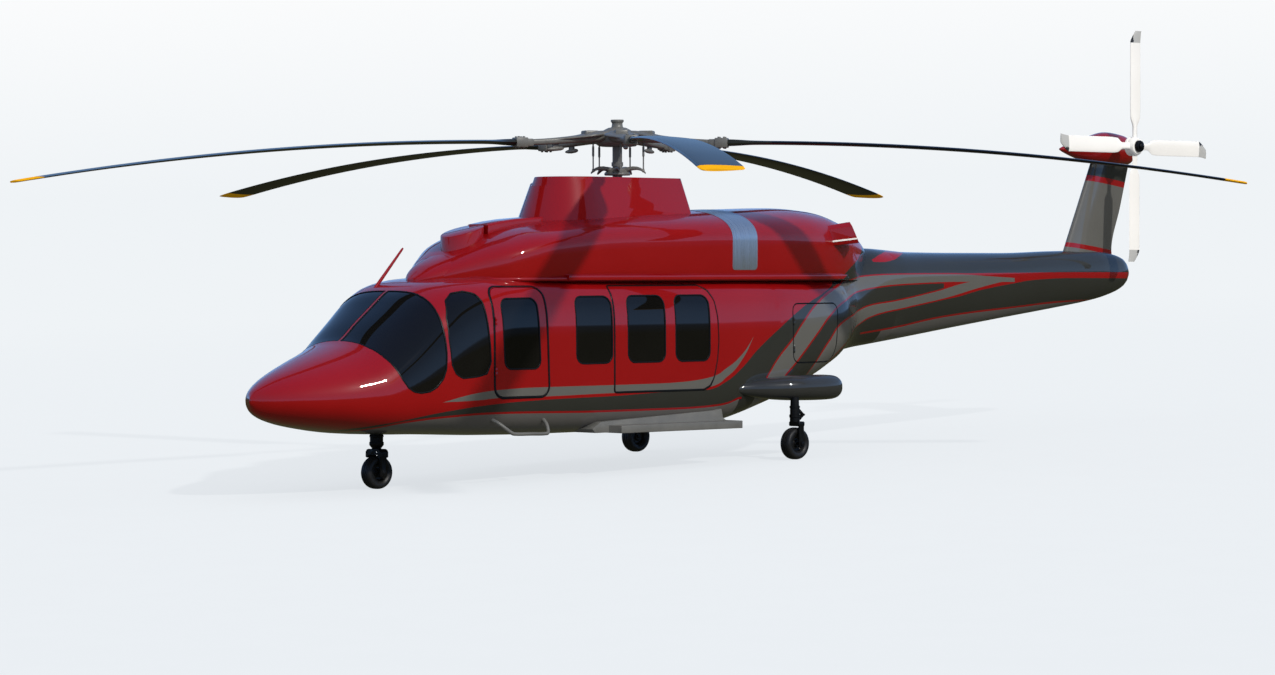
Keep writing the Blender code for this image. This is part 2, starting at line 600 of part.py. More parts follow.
# Doors, each a piece of the skin with its own window opening
for side, sign in (("left", 1), ("right", -1)):
    low, high = sorted((sign * 0.6, sign * 2.0))
    crew = piece("crew_door_" + side, skin.copy(), "red_paint")
    leaf = side_prism("crew leaf", CREW_DOOR, -RUNNING_GAP, low, high)
    combine(crew, cutter("crew leaf " + side, leaf), "INTERSECT")
    combine(crew, WINDOW_CUTS["crew"])
    hinge_line(panel["cabin_side_" + side], crew, CREW_HINGE, CREW_HINGE_HEIGHTS, sign)
    crew_mesh = freeze(crew, "crew door " + side)
    crew.modifiers.clear()
    crew.data = crew_mesh
    set_origin(crew, Vector((CREW_HINGE.x * sign, CREW_HINGE.y, 0.955)))

    slide = piece("sliding_door_" + side, skin.copy(), "red_paint")
    leaf = side_prism("slide leaf", SLIDING_DOOR, -SEAM, low, high)
    combine(slide, cutter("slide leaf " + side, leaf), "INTERSECT")
    combine(slide, WINDOW_CUTS["front"])
    combine(slide, WINDOW_CUTS["rear"])

    hatch = piece("baggage_door_" + side, skin.copy(), "charcoal_paint")
    leaf = side_prism("baggage leaf", BAGGAGE_DOOR, -RUNNING_GAP, low, high)
    combine(hatch, cutter("baggage leaf " + side, leaf), "INTERSECT")
    hinge_line(panel["rear_fuselage"], hatch, BAGGAGE_HINGE, BAGGAGE_HINGE_HEIGHTS, sign)
    hatch_mesh = freeze(hatch, "baggage door " + side)
    hatch.modifiers.clear()
    hatch.data = hatch_mesh
    set_origin(hatch, Vector((BAGGAGE_HINGE.x * sign, BAGGAGE_HINGE.y, 1.29)))

for side in ("left", "right"):
    pane = panes["crew " + side]
    pane.data = freeze(pane, "crew pane " + side)
    pane.modifiers.clear()
    sign = 1 if side == "left" else -1
    set_origin(pane, Vector((CREW_HINGE.x * sign, CREW_HINGE.y, 0.955)))

# Hardpoint under the belly, on the line of the mast
pad = cutter("belly pad", box_mesh("belly pad", (-PAD_SIZE / 2, -PAD_SIZE / 2, PAD_BOTTOM),
                                   (PAD_SIZE / 2, PAD_SIZE / 2, 0.45)))
combine(panel["cabin_belly"], pad, "UNION")

# Cowling over the engines, hollow and open below, seated on the roof
COWL_RINGS = (-3.66, -3.58, -3.44, -3.22, -2.85, -2.3, -1.4, 1.4, 2.4, 3.1, 3.6, 4.0, 4.35, 4.62)
COWL_HOLLOW_RINGS = (-3.40, -2.85, -1.4, 1.4, 3.1, 3.9, 4.35)
COWL_WALL = 0.035
COWL_FOOT = 2.40
COWL_FLANGE = 0.03


def cowl_mesh(name, stations, inset, foot):
    """The cowling's form through the given stations, cut off level at its foot."""
    rings = []
    for y in stations:
        rings.append([Vector((spot.x, spot.y, max(spot.z, foot))) for spot in section(COWL, y, 5, inset)])
    return loft_mesh(name, rings)


cowl_seat = cutter("cowl seat", cowl_mesh("cowl seat", COWL_RINGS, -SEAM, COWL_FOOT))
cowl_hollow = cutter("cowl hollow",
                     cowl_mesh("cowl hollow", COWL_HOLLOW_RINGS, COWL_WALL, COWL_FOOT + COWL_FLANGE))
mast_hole = cutter("mast hole", rod_mesh("mast hole", (0, 0, 3.0), (0, 0, 4.2), 0.13, sides=16))

cowl = piece("engine_cowling", cowl_mesh("engine cowling", COWL_RINGS, 0.0, COWL_FOOT), "red_paint")
scoop = rod_mesh("scoop form", (0, -2.74, 2.75), (0, -2.78, 3.165), 0.26, 0.25, 18)
scoop_form = cutter("scoop form", scoop)
scoop_bore = cutter("scoop bore", rod_mesh("scoop bore", (0, -2.78, 3.12), (0, -2.78, 3.2), 0.21, 0.21, 18))
combine(cowl, scoop_form, "UNION")
combine(cowl, scoop_bore)
combine(cowl, cowl_hollow)
combine(cowl, seat_form)
combine(cowl, mast_hole)

# Exhaust stubs, flat ducts that lean outboard at the back of the cowling
for side, sign in (("left", 1), ("right", -1)):
    rings = []
    for share, w, h in ((0.0, 0.16, 0.15), (1.0, 0.17, 0.145)):
        centre = Vector((sign * (0.55 + 0.40 * share), 3.12 + 0.50 * share, 2.97 + 0.10 * share))
        across = Vector((sign * 0.78, -0.62, 0.0))
        ring = []
        for k in range(12):
            angle = 2 * math.pi * k / 12
            c = math.cos(angle)
            s = math.sin(angle)
            ring.append(centre + across * (w * math.copysign(abs(c) ** 0.6, c))
                        + Vector((0, 0, h * math.copysign(abs(s) ** 0.6, s))))
        rings.append(ring)
    bore = []
    for ring in rings:
        middle = sum(ring, Vector()) / len(ring)
        bore.append([middle + (spot - middle) * 0.86 for spot in ring])
    push = (bore[1][0] - bore[0][0]).normalized()
    bore[0] = [spot + push * 0.30 for spot in bore[0]]
    bore[1] = [spot + push * 0.05 for spot in bore[1]]
    combine(cowl, cutter("exhaust duct " + side, loft_mesh("exhaust duct " + side, rings)), "UNION")
    combine(cowl, cutter("exhaust bore " + side, loft_mesh("exhaust bore " + side, bore)))

# Fairing round the mast: length and width at the foot and at the top
rings = []
for z, y_front, y_back, half_width in ((3.05, -1.60, 0.80, 0.70), (3.26, -1.52, 0.79, 0.64),
                                       (3.74, -1.335, 0.77, 0.46), (3.775, -1.32, 0.76, 0.44)):
    ring = []
    for k in range(20):
        angle = 2 * math.pi * k / 20
        c = math.cos(angle)
        s = math.sin(angle)
        x = half_width * math.copysign(abs(c) ** 0.5, c)
        y = (y_front + y_back) / 2 + (y_back - y_front) / 2 * math.copysign(abs(s) ** 0.5, s)
        ring.append(Vector((x, y, z)))
    rings.append(ring)
fairing = piece("mast_fairing", loft_mesh("mast fairing", rings), "red_paint")
inner_rings = []
for z, ring in ((3.04, rings[0]), (3.26, rings[1]), (3.745, rings[2])):
    middle = sum(ring, Vector()) / len(ring)
    inner_rings.append([Vector((middle.x + (p.x - middle.x) * 0.93, middle.y + (p.y - middle.y) * 0.975, z))
                        for p in ring])
combine(fairing, cutter("fairing hollow", loft_mesh("fairing hollow", inner_rings)))
combine(fairing, cowl_seat)
combine(fairing, mast_hole)

# Engines and gearbox as one heavy block on the roof deck
engine_block = box_mesh("engine block", (-0.62, -0.55, 2.43), (0.62, 2.2, 3.02), 0.06)
engine = piece("engine_and_gearbox", engine_block, "steel")
gearbox = cutter("gearbox drum", rod_mesh("gearbox drum", (0, 0, 2.9), (0, 0, GEARBOX_TOP), 0.32, sides=20))
combine(engine, gearbox, "UNION")
combine(engine, seat_form)

# Whip aerial on the cockpit roof
aerial = cutter("aerial", rod_mesh("aerial", (0, -4.17, 2.19), (0, -3.75, 2.83), 0.020, 0.007, 12))
combine(panel["cockpit_frame"], aerial, "UNION")

# Cabin floor, instrument panel and seats
FLOOR_TOP = 0.925
floor_mesh = box_mesh("cabin floor", (-1.5, -4.75, FLOOR_TOP - 0.04), (1.5, 1.845, FLOOR_TOP))
floor = piece("cabin_floor", floor_mesh, "interior_grey", 0)
combine(floor, liner, "INTERSECT")
dash_mesh = box_mesh("instrument panel", (-0.82, -4.58, FLOOR_TOP + SEAM), (0.82, -4.28, 1.42), 0.04)
dash = piece("instrument_panel", dash_mesh, "interior_grey")
combine(dash, liner, "INTERSECT")


def seat(name, x, y, width):
    """A seat facing forward: pedestal, cushion and a raked back."""
    half_width = width / 2
    foot = width * 0.35
    cushion = box_mesh(name, (x - half_width, y - 0.25, 1.23), (x + half_width, y + 0.25, 1.36), 0.04)
    obj = piece(name, cushion, "seat_leather")
    pedestal = box_mesh(name + " pedestal", (x - foot, y - 0.2, FLOOR_TOP + SEAM), (x + foot, y + 0.2, 1.29))
    back = box_mesh(name + " back", (x - half_width, -0.06, -0.15), (x + half_width, 0.06, 0.68), 0.04)
    back.transform(Matrix.Translation((0, y + 0.26, 1.30)) @ Matrix.Rotation(SEAT_RAKE, 4, "X"))
    combine(obj, cutter(name + " pedestal", pedestal), "UNION")
    combine(obj, cutter(name + " back", back), "UNION")


SEAT_RAKE = math.radians(-10)
seat("pilot_seat_left", 0.52, -3.35, 0.50)
seat("pilot_seat_right", -0.52, -3.35, 0.50)
seat("cabin_seat_row", 0.0, 1.15, 1.7)

def wing_form(share):
    """Half thickness of a symmetrical wing section at a share of its chord, for a thickness of one."""
    return 5 * (0.2969 * math.sqrt(share) - 0.126 * share - 0.3516 * share**2
                + 0.2843 * share**3 - 0.1036 * share**4)


# Tail fin, a symmetrical wing section that rises from the boom into the gearbox fairing
def fin_ring(z, front, back, thick, grow):
    ring = []
    chord = back - front
    for k in range(16):
        angle = 2 * math.pi * k / 16
        share = (1 - math.cos(angle)) / 2
        half_thick = thick * wing_form(share) + grow + 0.004
        ring.append(Vector((math.copysign(half_thick, math.sin(angle)) if k % 8 else 0.0,
                            front + chord * share + (grow * (1 if share > 0.5 else -1)), z)))
    return ring


# height, leading edge, trailing edge, thickness
FIN = (
    (2.62, 9.22, 10.49, 0.17),
    (2.84, 9.32, 10.45, 0.16),
    (3.50, 9.64, 10.66, 0.145),
    (4.27, 10.01, 10.90, 0.13),
)
fin = piece("tail_fin", loft_mesh("tail fin", [fin_ring(*row, 0.0) for row in FIN]), "grey_paint")
combine(fin, boom_seat)
fin_seat = cutter("fin seat", loft_mesh("fin seat", [
    [spot + Vector((0, 0, SEAM if number == 3 else 0)) for spot in fin_ring(*row, SEAM)]
    for number, row in enumerate(FIN)]))

POD_RINGS = (9.22, 9.30, 9.50, 9.75, 10.05, 10.60, 10.76, 10.87, 10.94)
pod_mesh = loft_mesh("tail pod", [section(TAIL_POD, y, 4) for y in POD_RINGS])
pod = piece("tail_gearbox_fairing", pod_mesh, "red_paint")
shaft_hole = cutter("shaft hole", rod_mesh("shaft hole", (TAIL_SHAFT_END - SEAM, TAIL_HUB.y, TAIL_HUB.z),
                                           (0.4, TAIL_HUB.y, TAIL_HUB.z), 0.055, sides=16))
combine(pod, shaft_hole)
combine(pod, fin_seat)

# Sponsons for the main gear, hollow, closed off by the body they sit on
def sponson_rings(sign, grow, first=0, last=None, share=1.0):
    rings = []
    for y, x, half_width, z, half_height in SPONSON[first:last]:
        ring = []
        for k in range(16):
            angle = 2 * math.pi * k / 16
            c = math.cos(angle)
            s = math.sin(angle)
            wide = half_width * share + grow
            high = half_height * share + grow
            ring.append(Vector((sign * (x + wide * math.copysign(abs(c) ** 0.8, c)), y,
                                z + high * math.copysign(abs(s) ** 0.8, s))))
        rings.append(ring)
    return rings


sponson_seats = {}
for side, sign in (("left", 1), ("right", -1)):
    outer = loft_mesh("sponson " + side, sponson_rings(sign, 0.0))
    sponson = piece("sponson_" + side, outer, "charcoal_paint")
    inner = loft_mesh("sponson hollow " + side, sponson_rings(sign, 0.0, 2, 6, 0.82))
    combine(sponson, cutter("sponson hollow " + side, inner))
    combine(sponson, seat_form)
    around = loft_mesh("sponson seat " + side, sponson_rings(sign, SEAM))
    sponson_seats[side] = cutter("sponson seat " + side, around)

# Boarding steps: a long plank on a sloping fairing, and a bent tube below the crew door
for side, sign in (("left", 1), ("right", -1)):
    low, high = sorted((sign * 0.80, sign * 1.44))
    plank = box_mesh("step plank", (low, -1.30, 0.445), (high, 0.92, 0.545), 0.012)
    step = piece("main_step_" + side, plank, "grey_paint", 0)
    ramp = side_prism("step ramp", (((-1.56, 0.449), (0.70, 0.449), (0.78, 0.70), (0.60, 0.66),
                                     (-1.50, 0.56)), 0.01), 0.0, *sorted((sign * 0.80, sign * 1.20)))
    combine(step, cutter("step ramp " + side, ramp), "UNION")
    combine(step, seat_form)

    curve = bpy.data.curves.new("tube", "CURVE")
    curve.dimensions = "3D"
    curve.bevel_depth = 0.022
    curve.bevel_resolution = 2
    curve.use_fill_caps = True
    line = curve.splines.new("POLY")
    route = ((1.05, -3.27, 0.70), (1.20, -3.20, 0.62), (1.27, -3.06, 0.505), (1.28, -2.98, 0.485),
             (1.28, -2.50, 0.475), (1.27, -2.43, 0.495), (1.20, -2.40, 0.60), (1.05, -2.38, 0.70))
    line.points.add(len(route) - 1)
    for point, spot in zip(line.points, route):
        point.co = (spot[0] * sign, spot[1], spot[2], 1.0)
    holder = bpy.data.objects.new("tube outline", curve)
    cutters.objects.link(holder)
    tube = freeze(holder, "front step " + side)
    bpy.data.objects.remove(holder)
    bm = bmesh.new()
    bm.from_mesh(tube)
    bmesh.ops.remove_doubles(bm, verts=bm.verts, dist=0.00001)
    front_step = piece("front_step_" + side, mesh_from(bm, "front step " + side), "grey_paint")
    combine(front_step, seat_form)


# Wheels: a tyre with rounded shoulders on a dished rim, both turned about the axle
def both_ways(profile):
    """A profile given for the outboard half, closed with its mirror image."""
    return [(-along_axis, radius) for along_axis, radius in profile] + list(reversed(profile))


def wheel(name, centre, radius):
    w = TYRE_WIDTH / 2
    bead = radius * 0.56
    tyre_profile = both_ways(((w * 0.72, bead), (w, radius * 0.74), (w * 0.88, radius * 0.92),
                              (w * 0.45, radius)))
    tyre = piece(name + "_tyre", turned_mesh(name + " tyre", tyre_profile, 20), "rubber")
    tyre.location = centre
    rim_profile = both_ways(((w * 0.70, bead * 0.98), (w * 0.70, bead * 0.80), (w * 0.25, bead * 0.62),
                             (w * 0.55, RIM_BORE)))
    rim = piece(name + "_rim", turned_mesh(name + " rim", rim_profile, AXLE_SIDES), "rim_metal")
    rim.location = centre


AXLE_RADIUS = 0.019
AXLE_SIDES = 16
# The flats of the bore clear the corners of the axle when the wheel turns
RIM_BORE = (AXLE_RADIUS + SEAM) / math.cos(math.pi / AXLE_SIDES)
nose_axle = NOSE_CONTACT + UP * NOSE_WHEEL_RADIUS
main_axle = MAIN_CONTACT + UP * MAIN_WHEEL_RADIUS
wheel("nose_wheel", nose_axle, NOSE_WHEEL_RADIUS)
wheel("main_wheel_left", main_axle, MAIN_WHEEL_RADIUS)
wheel("main_wheel_right", Vector((-main_axle.x, main_axle.y, main_axle.z)), MAIN_WHEEL_RADIUS)

# Nose gear: a fixed strut and a fork that steers about the strut, with one leg on the port side
nose_y = nose_axle.y
NOSE_PIVOT = 0.30
strut_mesh = rod_mesh("nose strut", (0, nose_y, 0.38), (0, nose_y, 0.60), 0.085, sides=16)
strut = piece("nose_strut", strut_mesh, "black_gear")
tube_mesh = rod_mesh("nose tube", (0, nose_y, NOSE_PIVOT), (0, nose_y, 0.40), 0.055, sides=16)
inner_tube = cutter("nose tube", tube_mesh)
combine(strut, inner_tube, "UNION")
combine(strut, seat_form)
nose_crown = box_mesh("nose crown", (-0.075, nose_y - 0.085, 0.235),
                      (0.135, nose_y + 0.085, NOSE_PIVOT - SEAM), 0.02)
fork = piece("nose_fork", nose_crown, "black_gear")
leg = box_mesh("nose leg", (0.097, nose_y - 0.05, nose_axle.z - 0.05), (0.130, nose_y + 0.05, 0.28), 0.012)
combine(fork, cutter("nose leg", leg), "UNION")
axle = rod_mesh("nose axle", (-0.066, nose_y, nose_axle.z), (0.145, nose_y, nose_axle.z), AXLE_RADIUS,
                sides=AXLE_SIDES)
combine(fork, cutter("nose axle", axle), "UNION")
fork.data = freeze(fork, "nose fork")
fork.modifiers.clear()
set_origin(fork, Vector((0, nose_y, NOSE_PIVOT)))

# Main gear legs: strut below the sponson, crosspiece, and a leg down the outboard side of the wheel
for side, sign in (("left", 1), ("right", -1)):
    x = main_axle.x * sign
    y = main_axle.y
    strut_mesh = rod_mesh("main strut " + side, (x, y, 0.47), (x, y, 0.84), 0.055, sides=16)
    leg = piece("main_leg_" + side, strut_mesh, "black_gear")
    out = x + sign * 0.118
    low, high = sorted((x - sign * 0.06, out + sign * 0.018))
    crown = box_mesh("main crown " + side, (low, y - 0.055, 0.445), (high, y + 0.055, 0.52), 0.015)
    combine(leg, cutter("main crown " + side, crown), "UNION")
    low, high = sorted((out - sign * 0.018, out + sign * 0.018))
    arm = box_mesh("main arm " + side, (low, y - 0.045, main_axle.z - 0.05), (high, y + 0.045, 0.50), 0.012)
    combine(leg, cutter("main arm " + side, arm), "UNION")
    stub = rod_mesh("main axle " + side, (x - sign * 0.066, y, main_axle.z),
                    (out + sign * 0.03, y, main_axle.z), AXLE_RADIUS, sides=AXLE_SIDES)
    combine(leg, cutter("main axle " + side, stub), "UNION")
    link_shape = (((y + 0.03, 0.50), (y + 0.14, 0.60), (y + 0.03, 0.72),
                   (y + 0.03, 0.67), (y + 0.10, 0.60), (y + 0.03, 0.54)), 0.004)
    link = side_prism("torque link " + side, link_shape, 0.0, x - 0.02, x + 0.02)
    combine(leg, cutter("torque link " + side, link), "UNION")
    combine(leg, sponson_seats[side])


# Main rotor hub: mast, dome, cap and five arms that carry the blades
def arm_ring(r, half_width, half_height, z):
    ring = []
    for k in range(8):
        angle = 2 * math.pi * k / 8
        c = math.cos(angle)
        s = math.sin(angle)
        ring.append(Vector((half_width * math.copysign(abs(c) ** 0.7, c), -r,
                            z + half_height * math.copysign(abs(s) ** 0.7, s))))
    return ring


mast_mesh = rod_mesh("mast", (0, 0, GEARBOX_TOP + SEAM), (0, 0, 4.30), MAST_RADIUS, sides=16)
hub = piece("rotor_hub", mast_mesh, "hub_grey")
dome_profile = ((4.20, 0.08), (4.19, 0.22), (4.24, 0.29), (4.33, 0.27), (4.41, 0.20), (4.45, 0.12),
                (4.46, 0.075), (4.50, 0.065), (4.53, 0.085), (4.555, 0.085))
bm = bmesh.new()
for first, second in zip(((4.20, 0.0),) + dome_profile, dome_profile + ((4.555, 0.0),)):
    pair = [bm.verts.new((radius, 0.0, z)) for z, radius in (first, second)]
    bm.edges.new(pair)
bmesh.ops.remove_doubles(bm, verts=bm.verts, dist=0.00001)
bmesh.ops.spin(bm, geom=bm.verts[:] + bm.edges[:], cent=(0, 0, 0), axis=(0, 0, 1), angle=2 * math.pi,
               steps=20)
bmesh.ops.remove_doubles(bm, verts=bm.verts, dist=0.0001)
dome = cutter("hub dome", mesh_from(bm, "hub dome"))
combine(hub, dome, "UNION")
# Stations of a hub arm: distance out, half width, half height, height
ARM = (
    (0.05, 0.12, 0.070, 4.330),
    (0.30, 0.13, 0.075, 4.325),
    (0.50, 0.12, 0.062, 4.300),
    (0.95, 0.075, 0.045, 4.255),
    (1.30, 0.060, 0.040, 4.238),
    (1.34, 0.085, 0.065, HUB_HEIGHT),
    (BLADE_ROOT - SEAM, 0.085, 0.065, HUB_HEIGHT),
)
arm_mesh = loft_mesh("hub arm", [arm_ring(*row) for row in ARM])
for k in range(BLADE_COUNT):
    turned = arm_mesh.copy()
    turned.transform(Matrix.Rotation(FIRST_BLADE_ANGLE + BLADE_STEP * k, 4, "Z"))
    combine(hub, cutter("hub arm " + str(k), turned), "UNION")

# Swashplate star and pitch links, which turn with the mast
LINK_REACH = 0.355
LINK_TOP = 4.2445
star = piece("swashplate", rod_mesh("swashplate", (0, 0, 3.81), (0, 0, 3.91), 0.17, 0.12, 16), "hub_grey")
for k in range(BLADE_COUNT):
    angle = FIRST_BLADE_ANGLE + BLADE_STEP * k
    horn = loft_mesh("star horn", [arm_ring(0.06, 0.055, 0.03, 3.87), arm_ring(0.25, 0.035, 0.022, 3.895),
                                   arm_ring(0.37, 0.022, 0.018, 3.865)])
    horn.transform(Matrix.Rotation(angle, 4, "Z"))
    combine(star, cutter("star horn " + str(k), horn), "UNION")
    foot = Vector((math.sin(angle) * LINK_REACH, -math.cos(angle) * LINK_REACH, 3.86))
    head = Vector((foot.x, foot.y, LINK_TOP))
    combine(star, cutter("pitch link " + str(k), rod_mesh("pitch link", foot, head, 0.014, sides=8)), "UNION")
star_bore = rod_mesh("star bore", (0, 0, 3.7), (0, 0, 4.0), MAST_RADIUS + SEAM, sides=16)
combine(star, cutter("star bore", star_bore))


# Blades: a wing section lofted outwards, drooping under its own weight, with a swept tip
def blade_ring(r, chord, thick, offset):
    """Section across the blade; the leading edge is towards -X on a blade that points forward."""
    ring = []
    z_mid = HUB_HEIGHT - BLADE_DROOP * max(r - BLADE_ROOT, 0.0) ** 2
    for k in range(12):
        angle = 2 * math.pi * k / 12
        share = (1 - math.cos(angle)) / 2
        z = thick * wing_form(share) + 0.002
        ring.append(Vector((offset + chord * (share - 0.30), -r,
                            z_mid + (math.copysign(z, math.sin(angle)) if k % 6 else 0.0))))
    return ring


# Stations of a blade: distance out, chord, thickness, sweep towards the trailing edge
BLADE = (
    (BLADE_ROOT, 0.14, 0.090, 0.0),
    (1.62, 0.16, 0.080, 0.0),
    (1.85, 0.34, 0.055, 0.035),
    (2.10, 0.52, 0.050, 0.06),
    (3.20, BLADE_CHORD, 0.048, 0.06),
    (4.40, BLADE_CHORD, 0.046, 0.06),
    (5.60, BLADE_CHORD, 0.042, 0.06),
    (6.70, BLADE_CHORD, 0.038, 0.06),
    (7.60, BLADE_CHORD, 0.034, 0.06),
    (7.95, 0.53, 0.030, 0.065),
    (8.16, 0.49, 0.024, 0.072),
    (ROTOR_RADIUS, 0.40, 0.014, 0.085),
)
blade_mesh = loft_mesh("main blade", [blade_ring(*row) for row in BLADE])
for k in range(BLADE_COUNT):
    blade = piece("main_blade_" + str(k + 1), blade_mesh, "blade_olive")
    blade.rotation_euler = (0, 0, FIRST_BLADE_ANGLE + BLADE_STEP * k)

# Tail rotor: one hub with its shaft, and four blades in the plane across X
tail_shaft = rod_mesh("tail shaft", (TAIL_SHAFT_END, 0, 0), (0.52, 0, 0), 0.045, sides=12)
tail_hub = piece("tail_rotor", tail_shaft, "hub_grey")
disc = cutter("tail disc", rod_mesh("tail disc", (0.505, 0, 0), (0.665, 0, 0), 0.145, 0.125, 20))
nut = cutter("tail cap", rod_mesh("tail cap", (0.65, 0, 0), (0.75, 0, 0), 0.088, 0.072, 16))
for extra in (disc, nut):
    extra.location = (0, TAIL_HUB.y, TAIL_HUB.z)
    combine(tail_hub, extra, "UNION")
tail_hub.location = (0, TAIL_HUB.y, TAIL_HUB.z)

# Stations of a tail blade: distance out, chord, thickness, sweep towards the trailing edge
TAIL_BLADE = (
    (0.10, 0.10, 0.045, 0.0),
    (0.30, 0.10, 0.040, 0.0),
    (0.42, 0.22, 0.034, 0.0),
    (0.60, TAIL_CHORD, 0.030, 0.0),
    (1.10, TAIL_CHORD, 0.027, 0.0),
    (1.57, TAIL_CHORD, 0.024, 0.0),
    (1.66, 0.20, 0.020, 0.03),
    (TAIL_ROTOR_RADIUS, 0.14, 0.012, 0.08),
)
rings = []
for r, chord, thick, sweep in TAIL_BLADE:
    ring = []
    for k in range(8):
        angle = 2 * math.pi * k / 8
        share = (1 - math.cos(angle)) / 2
        x = thick * wing_form(share) + 0.002
        ring.append(Vector((math.copysign(x, math.sin(angle)) if k % 4 else 0.0,
                            sweep + chord * (share - 0.45), r)))
    rings.append(ring)
tail_blade_mesh = loft_mesh("tail blade", rings)
for k in range(4):
    blade = cutter("tail blade " + str(k + 1), tail_blade_mesh)
    blade.location = (TAIL_HUB.x - 0.035, TAIL_HUB.y, TAIL_HUB.z)
    blade.rotation_euler = (math.pi / 2 * k, 0, 0)
    combine(tail_hub, blade, "UNION")

bpy.context.view_layer.update()
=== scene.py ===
"""Twin-engine transport helicopter, dressed for a portrait in a plain pale studio.

Every piece is modelled in the machine's own level frame: nose towards -Y, port side towards +X and
the mast on the Z axis. LEVEL then sets it the way it stands on its wheels. Metres throughout.
"""
import json
import math
from contextlib import contextmanager

import bpy
import numpy as np
from bpy.props import FloatProperty, FloatVectorProperty, IntProperty, PointerProperty
from mathutils import Matrix, Vector
from mathutils.bvhtree import BVHTree
from mathutils.interpolate import poly_3d_calc

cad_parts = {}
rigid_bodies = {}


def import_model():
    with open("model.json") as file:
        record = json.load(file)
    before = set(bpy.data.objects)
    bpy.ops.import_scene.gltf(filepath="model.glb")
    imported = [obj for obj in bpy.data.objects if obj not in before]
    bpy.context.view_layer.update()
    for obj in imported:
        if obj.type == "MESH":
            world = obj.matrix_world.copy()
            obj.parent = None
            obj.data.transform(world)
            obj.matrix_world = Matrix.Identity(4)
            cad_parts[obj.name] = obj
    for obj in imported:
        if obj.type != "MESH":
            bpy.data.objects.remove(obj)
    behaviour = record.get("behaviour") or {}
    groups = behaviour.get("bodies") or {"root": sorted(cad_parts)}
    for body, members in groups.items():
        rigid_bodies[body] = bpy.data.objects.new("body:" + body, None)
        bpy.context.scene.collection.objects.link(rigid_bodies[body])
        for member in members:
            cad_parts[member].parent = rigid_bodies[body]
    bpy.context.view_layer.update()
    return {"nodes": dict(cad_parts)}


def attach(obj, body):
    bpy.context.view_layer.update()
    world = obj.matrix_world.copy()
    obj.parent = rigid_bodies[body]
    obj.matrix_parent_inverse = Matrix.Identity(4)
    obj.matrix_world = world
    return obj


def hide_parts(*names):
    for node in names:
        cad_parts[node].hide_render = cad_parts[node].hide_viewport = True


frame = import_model()

bl_info = {
    "name": "Transport helicopter",
    "version": (1, 0, 0),
    "blender": (4, 5, 0),
    "location": "3D View > Sidebar > Helicopter",
    "description": "Builds a five-blade transport helicopter piece by piece, with its studio",
    "category": "Add Mesh",
}

# Contact points of the wheels and the hardpoint under the belly, in the level frame
NOSE_CONTACT = Vector((0.0, -4.1906, -0.2068))
MAIN_CONTACT = Vector((1.5416, 1.8182, 0.0))
PAD_BOTTOM = 0.398
ATTITUDE = math.atan2(NOSE_CONTACT.z - MAIN_CONTACT.z, MAIN_CONTACT.y - NOSE_CONTACT.y)
LEVEL = Matrix.Rotation(ATTITUDE, 4, "X") @ Matrix.Translation((0.0, 0.0, -PAD_BOTTOM))
UP = Vector((0.0, math.sin(ATTITUDE), math.cos(ATTITUDE)))
NOSE_WHEEL_RADIUS = 0.210
MAIN_WHEEL_RADIUS = 0.215
NOSE_AXLE = NOSE_CONTACT + UP * NOSE_WHEEL_RADIUS
MAIN_AXLE = MAIN_CONTACT + UP * MAIN_WHEEL_RADIUS
SILL = 0.93
WALL = 0.05
BOOM_WALL = 0.022
GAP = 0.003
HAIR = 0.0004
POST = 0.022
ROTOR_RADIUS = 8.305
BLADE_COUNT = 5
FIRST_BLADE = math.radians(53.5)
BLADE_ANGLES = [FIRST_BLADE + 2 * math.pi / BLADE_COUNT * k for k in range(BLADE_COUNT)]
HUB_HEIGHT = 4.235
BLADE_ROOT = 1.50
BLADE_DROOP = 0.0125
TAIL_HUB = Vector((0.634, 10.269, 4.409))
TAIL_TIP = 1.575
CREW_HINGE = Vector((1.222, -3.262))
BAGGAGE_HINGE = Vector((1.186, 2.175))
LEND_REACH = 0.0015
LEND_AGREEMENT = 0.88
HINGE_LENGTH = 0.0497
HINGE_PITCH = 0.0503
HINGE_RADIUS = 0.0145
COWL_FOOT = 2.40
FLOOR_TOP = 0.9253
AXLE_RADIUS = 0.0188
SIDES = (("left", 1), ("right", -1))

# Panel lines of the skin
NOSE_END = -5.05
COCKPIT_END = -3.31
CABIN_END = 1.90
BOOM_START = 5.05
ROOF_EDGE = 2.385
ROOF_SIDE = 0.86

